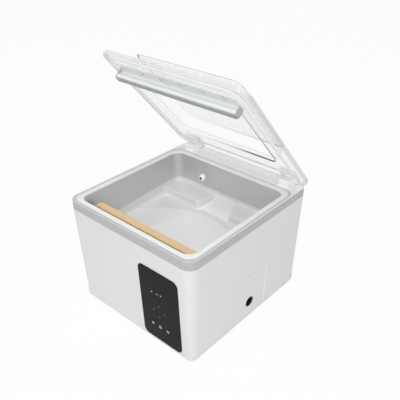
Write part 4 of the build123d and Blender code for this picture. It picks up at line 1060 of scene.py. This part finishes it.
    @staticmethod
    def gasket(lid, settings):
        """Foam strip round the chamber's mouth: its free face is a half ellipse across its width."""
        (left, front, low), (right, back, high) = lid.box("lid_gasket")
        width = settings.gasket_width
        inner = rounded_path(right - left - 2 * width, back - front - 2 * width, settings.gasket_radius,
                             (0.0, (front + back) / 2))
        rings = [ring(inner, width / 2 * (1 - np.cos(turn)), high - (high - low) * np.sin(turn) ** 0.5)
                 for turn in np.linspace(0.0, np.pi, 11)]
        made = piece("foam_gasket", lid.place(skin("foam_gasket", rings)), "lid", "gasket_white")
        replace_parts(made, "lid_gasket")


# ================================================================ stage
LAMPS = {
    "key_lamp": {"place": (0.5, -1.9, 2.0), "size": 1.5, "power": "key_light"},
    "top_lamp": {"place": (0.1, -0.5, 2.4), "size": 1.2, "power": "top_light"},
    "side_lamp": {"place": (2.0, -1.55, 0.8), "size": 1.0, "power": "side_light"},
}
LIT_POINT = (0.0, 0.0, 0.3)
SENSOR_WIDTH = 36.0     # in millimetres
FLOOR_HALF = 6.0
FLOOR_WHITE = 0.95      # share of the floor seen as plain white, so that its shadows stay faint


def pale_floor(name, base, share):
    """A pale surface that camera, mirrors and glass see as white by the given share."""
    recipe = Recipe(name)
    seen = recipe.seen_by("Camera", "Glossy", "Transmission")
    plain = recipe.node("ShaderNodeBsdfDiffuse", values={"Color": rgba(base)})
    white = recipe.node("ShaderNodeEmission", values={"Color": (1, 1, 1, 1), "Strength": 1.0})
    mixed = recipe.node("ShaderNodeMixShader", values={0: seen * share, 1: plain, 2: white})
    recipe.node("ShaderNodeOutputMaterial", values={"Surface": mixed})
    return recipe.block


def soft_lamp(name, place, size, power):
    """A square area lamp aimed at the machine's middle."""
    data = bpy.data.lights.new(name, "AREA")
    data.shape = "SQUARE"
    data.size = size
    data.energy = power
    lamp = bpy.data.objects.new(name, data)
    lamp.location = place
    lamp.rotation_euler = (Vector(LIT_POINT) - Vector(place)).to_track_quat("-Z", "Y").to_euler()
    bpy.context.scene.collection.objects.link(lamp)


class SEALER_OT_stage(bpy.types.Operator):
    """Set up the floor, the surround, the lamps and the camera"""

    bl_idname = "sealer.stage"
    bl_label = "Stage"

    def execute(self, context):
        settings = context.scene.sealer_stage
        self.floor(settings)
        self.surround(context.scene, settings)
        for name, lamp in LAMPS.items():
            soft_lamp(name, lamp["place"], lamp["size"], getattr(settings, lamp["power"]))
        self.camera(context.scene, settings)
        context.scene.view_settings.view_transform = "Standard"
        return {"FINISHED"}

    @staticmethod
    def floor(settings):
        """A square of floor under the machine."""
        signs = ((-1, -1), (1, -1), (1, 1), (-1, 1))
        mesh = bpy.data.meshes.new("floor")
        mesh.from_pydata([(x * FLOOR_HALF, y * FLOOR_HALF, 0) for x, y in signs], [], [(0, 1, 2, 3)])
        mesh.materials.append(pale_floor("floor_pale", settings.floor_colour, FLOOR_WHITE))
        floor = bpy.data.objects.new("floor", mesh)
        bpy.context.scene.collection.objects.link(floor)

    @staticmethod
    def surround(scene, settings):
        """A world that is white to the camera, to mirrors and through glass, and dimmer as a light."""
        recipe = Recipe("surround", bpy.data.worlds)
        seen = recipe.seen_by("Camera", "Transmission", "Glossy")
        strength = recipe.ramp(seen, 0.0, 1.0, settings.surround, 1.0)
        back = recipe.node("ShaderNodeBackground", values={"Color": (1, 1, 1, 1), "Strength": strength})
        recipe.node("ShaderNodeOutputWorld", values={"Surface": back})
        scene.world = recipe.block

    @staticmethod
    def camera(scene, settings):
        """Back points from the object to the camera; right and up are then rolled about it."""
        turn, rise, roll = settings.turn, settings.rise, settings.roll
        back = Vector((np.sin(turn) * np.cos(rise), -np.cos(turn) * np.cos(rise), np.sin(rise)))
        level_right = Vector((np.cos(turn), np.sin(turn), 0.0))
        level_up = back.cross(level_right)
        right = level_right * np.cos(roll) + level_up * np.sin(roll)
        up = level_up * np.cos(roll) - level_right * np.sin(roll)
        data = bpy.data.cameras.new("camera")
        data.lens = settings.lens
        data.sensor_width = SENSOR_WIDTH
        camera = bpy.data.objects.new("camera", data)
        facing = Matrix((right, up, back)).transposed().to_4x4()
        camera.matrix_world = Matrix.Translation(settings.camera_place) @ facing
        scene.collection.objects.link(camera)
        scene.camera = camera


# ================================================================ panel in the sidebar
class SEALER_PT_sidebar(bpy.types.Panel):
    """Lists the machine's groups of pieces"""

    bl_label = "Chamber sealer"
    bl_space_type = "VIEW_3D"
    bl_region_type = "UI"
    bl_category = "Sealer"

    def draw(self, context):
        for operator in OPERATORS:
            self.layout.operator(operator.bl_idname)
        for key in SETTINGS:
            group = getattr(context.scene, key)
            for name in group.__annotations__:
                self.layout.prop(group, name)


SETTINGS = {"sealer_stage": StageSettings, "sealer_shell": ShellSettings, "sealer_lid": LidSettings,
            "sealer_panel": PanelSettings}
OPERATORS = [SEALER_OT_finishes, SEALER_OT_chamber, SEALER_OT_lip, SEALER_OT_seal, SEALER_OT_nozzle,
             SEALER_OT_signs, SEALER_OT_hatch, SEALER_OT_lid, SEALER_OT_stage]
CLASSES = [*SETTINGS.values(), *OPERATORS, SEALER_PT_sidebar]


def register():
    for kind in CLASSES:
        bpy.utils.register_class(kind)
    for key, kind in SETTINGS.items():
        setattr(bpy.types.Scene, key, PointerProperty(type=kind))


def unregister():
    for key in SETTINGS:
        delattr(bpy.types.Scene, key)
    for kind in reversed(CLASSES):
        bpy.utils.unregister_class(kind)


def main():
    """Make every piece in order."""
    register()
    for operator in OPERATORS:
        group, action = operator.bl_idname.split(".")
        getattr(getattr(bpy.ops, group), action)()


if __name__ == "__main__":
    main()
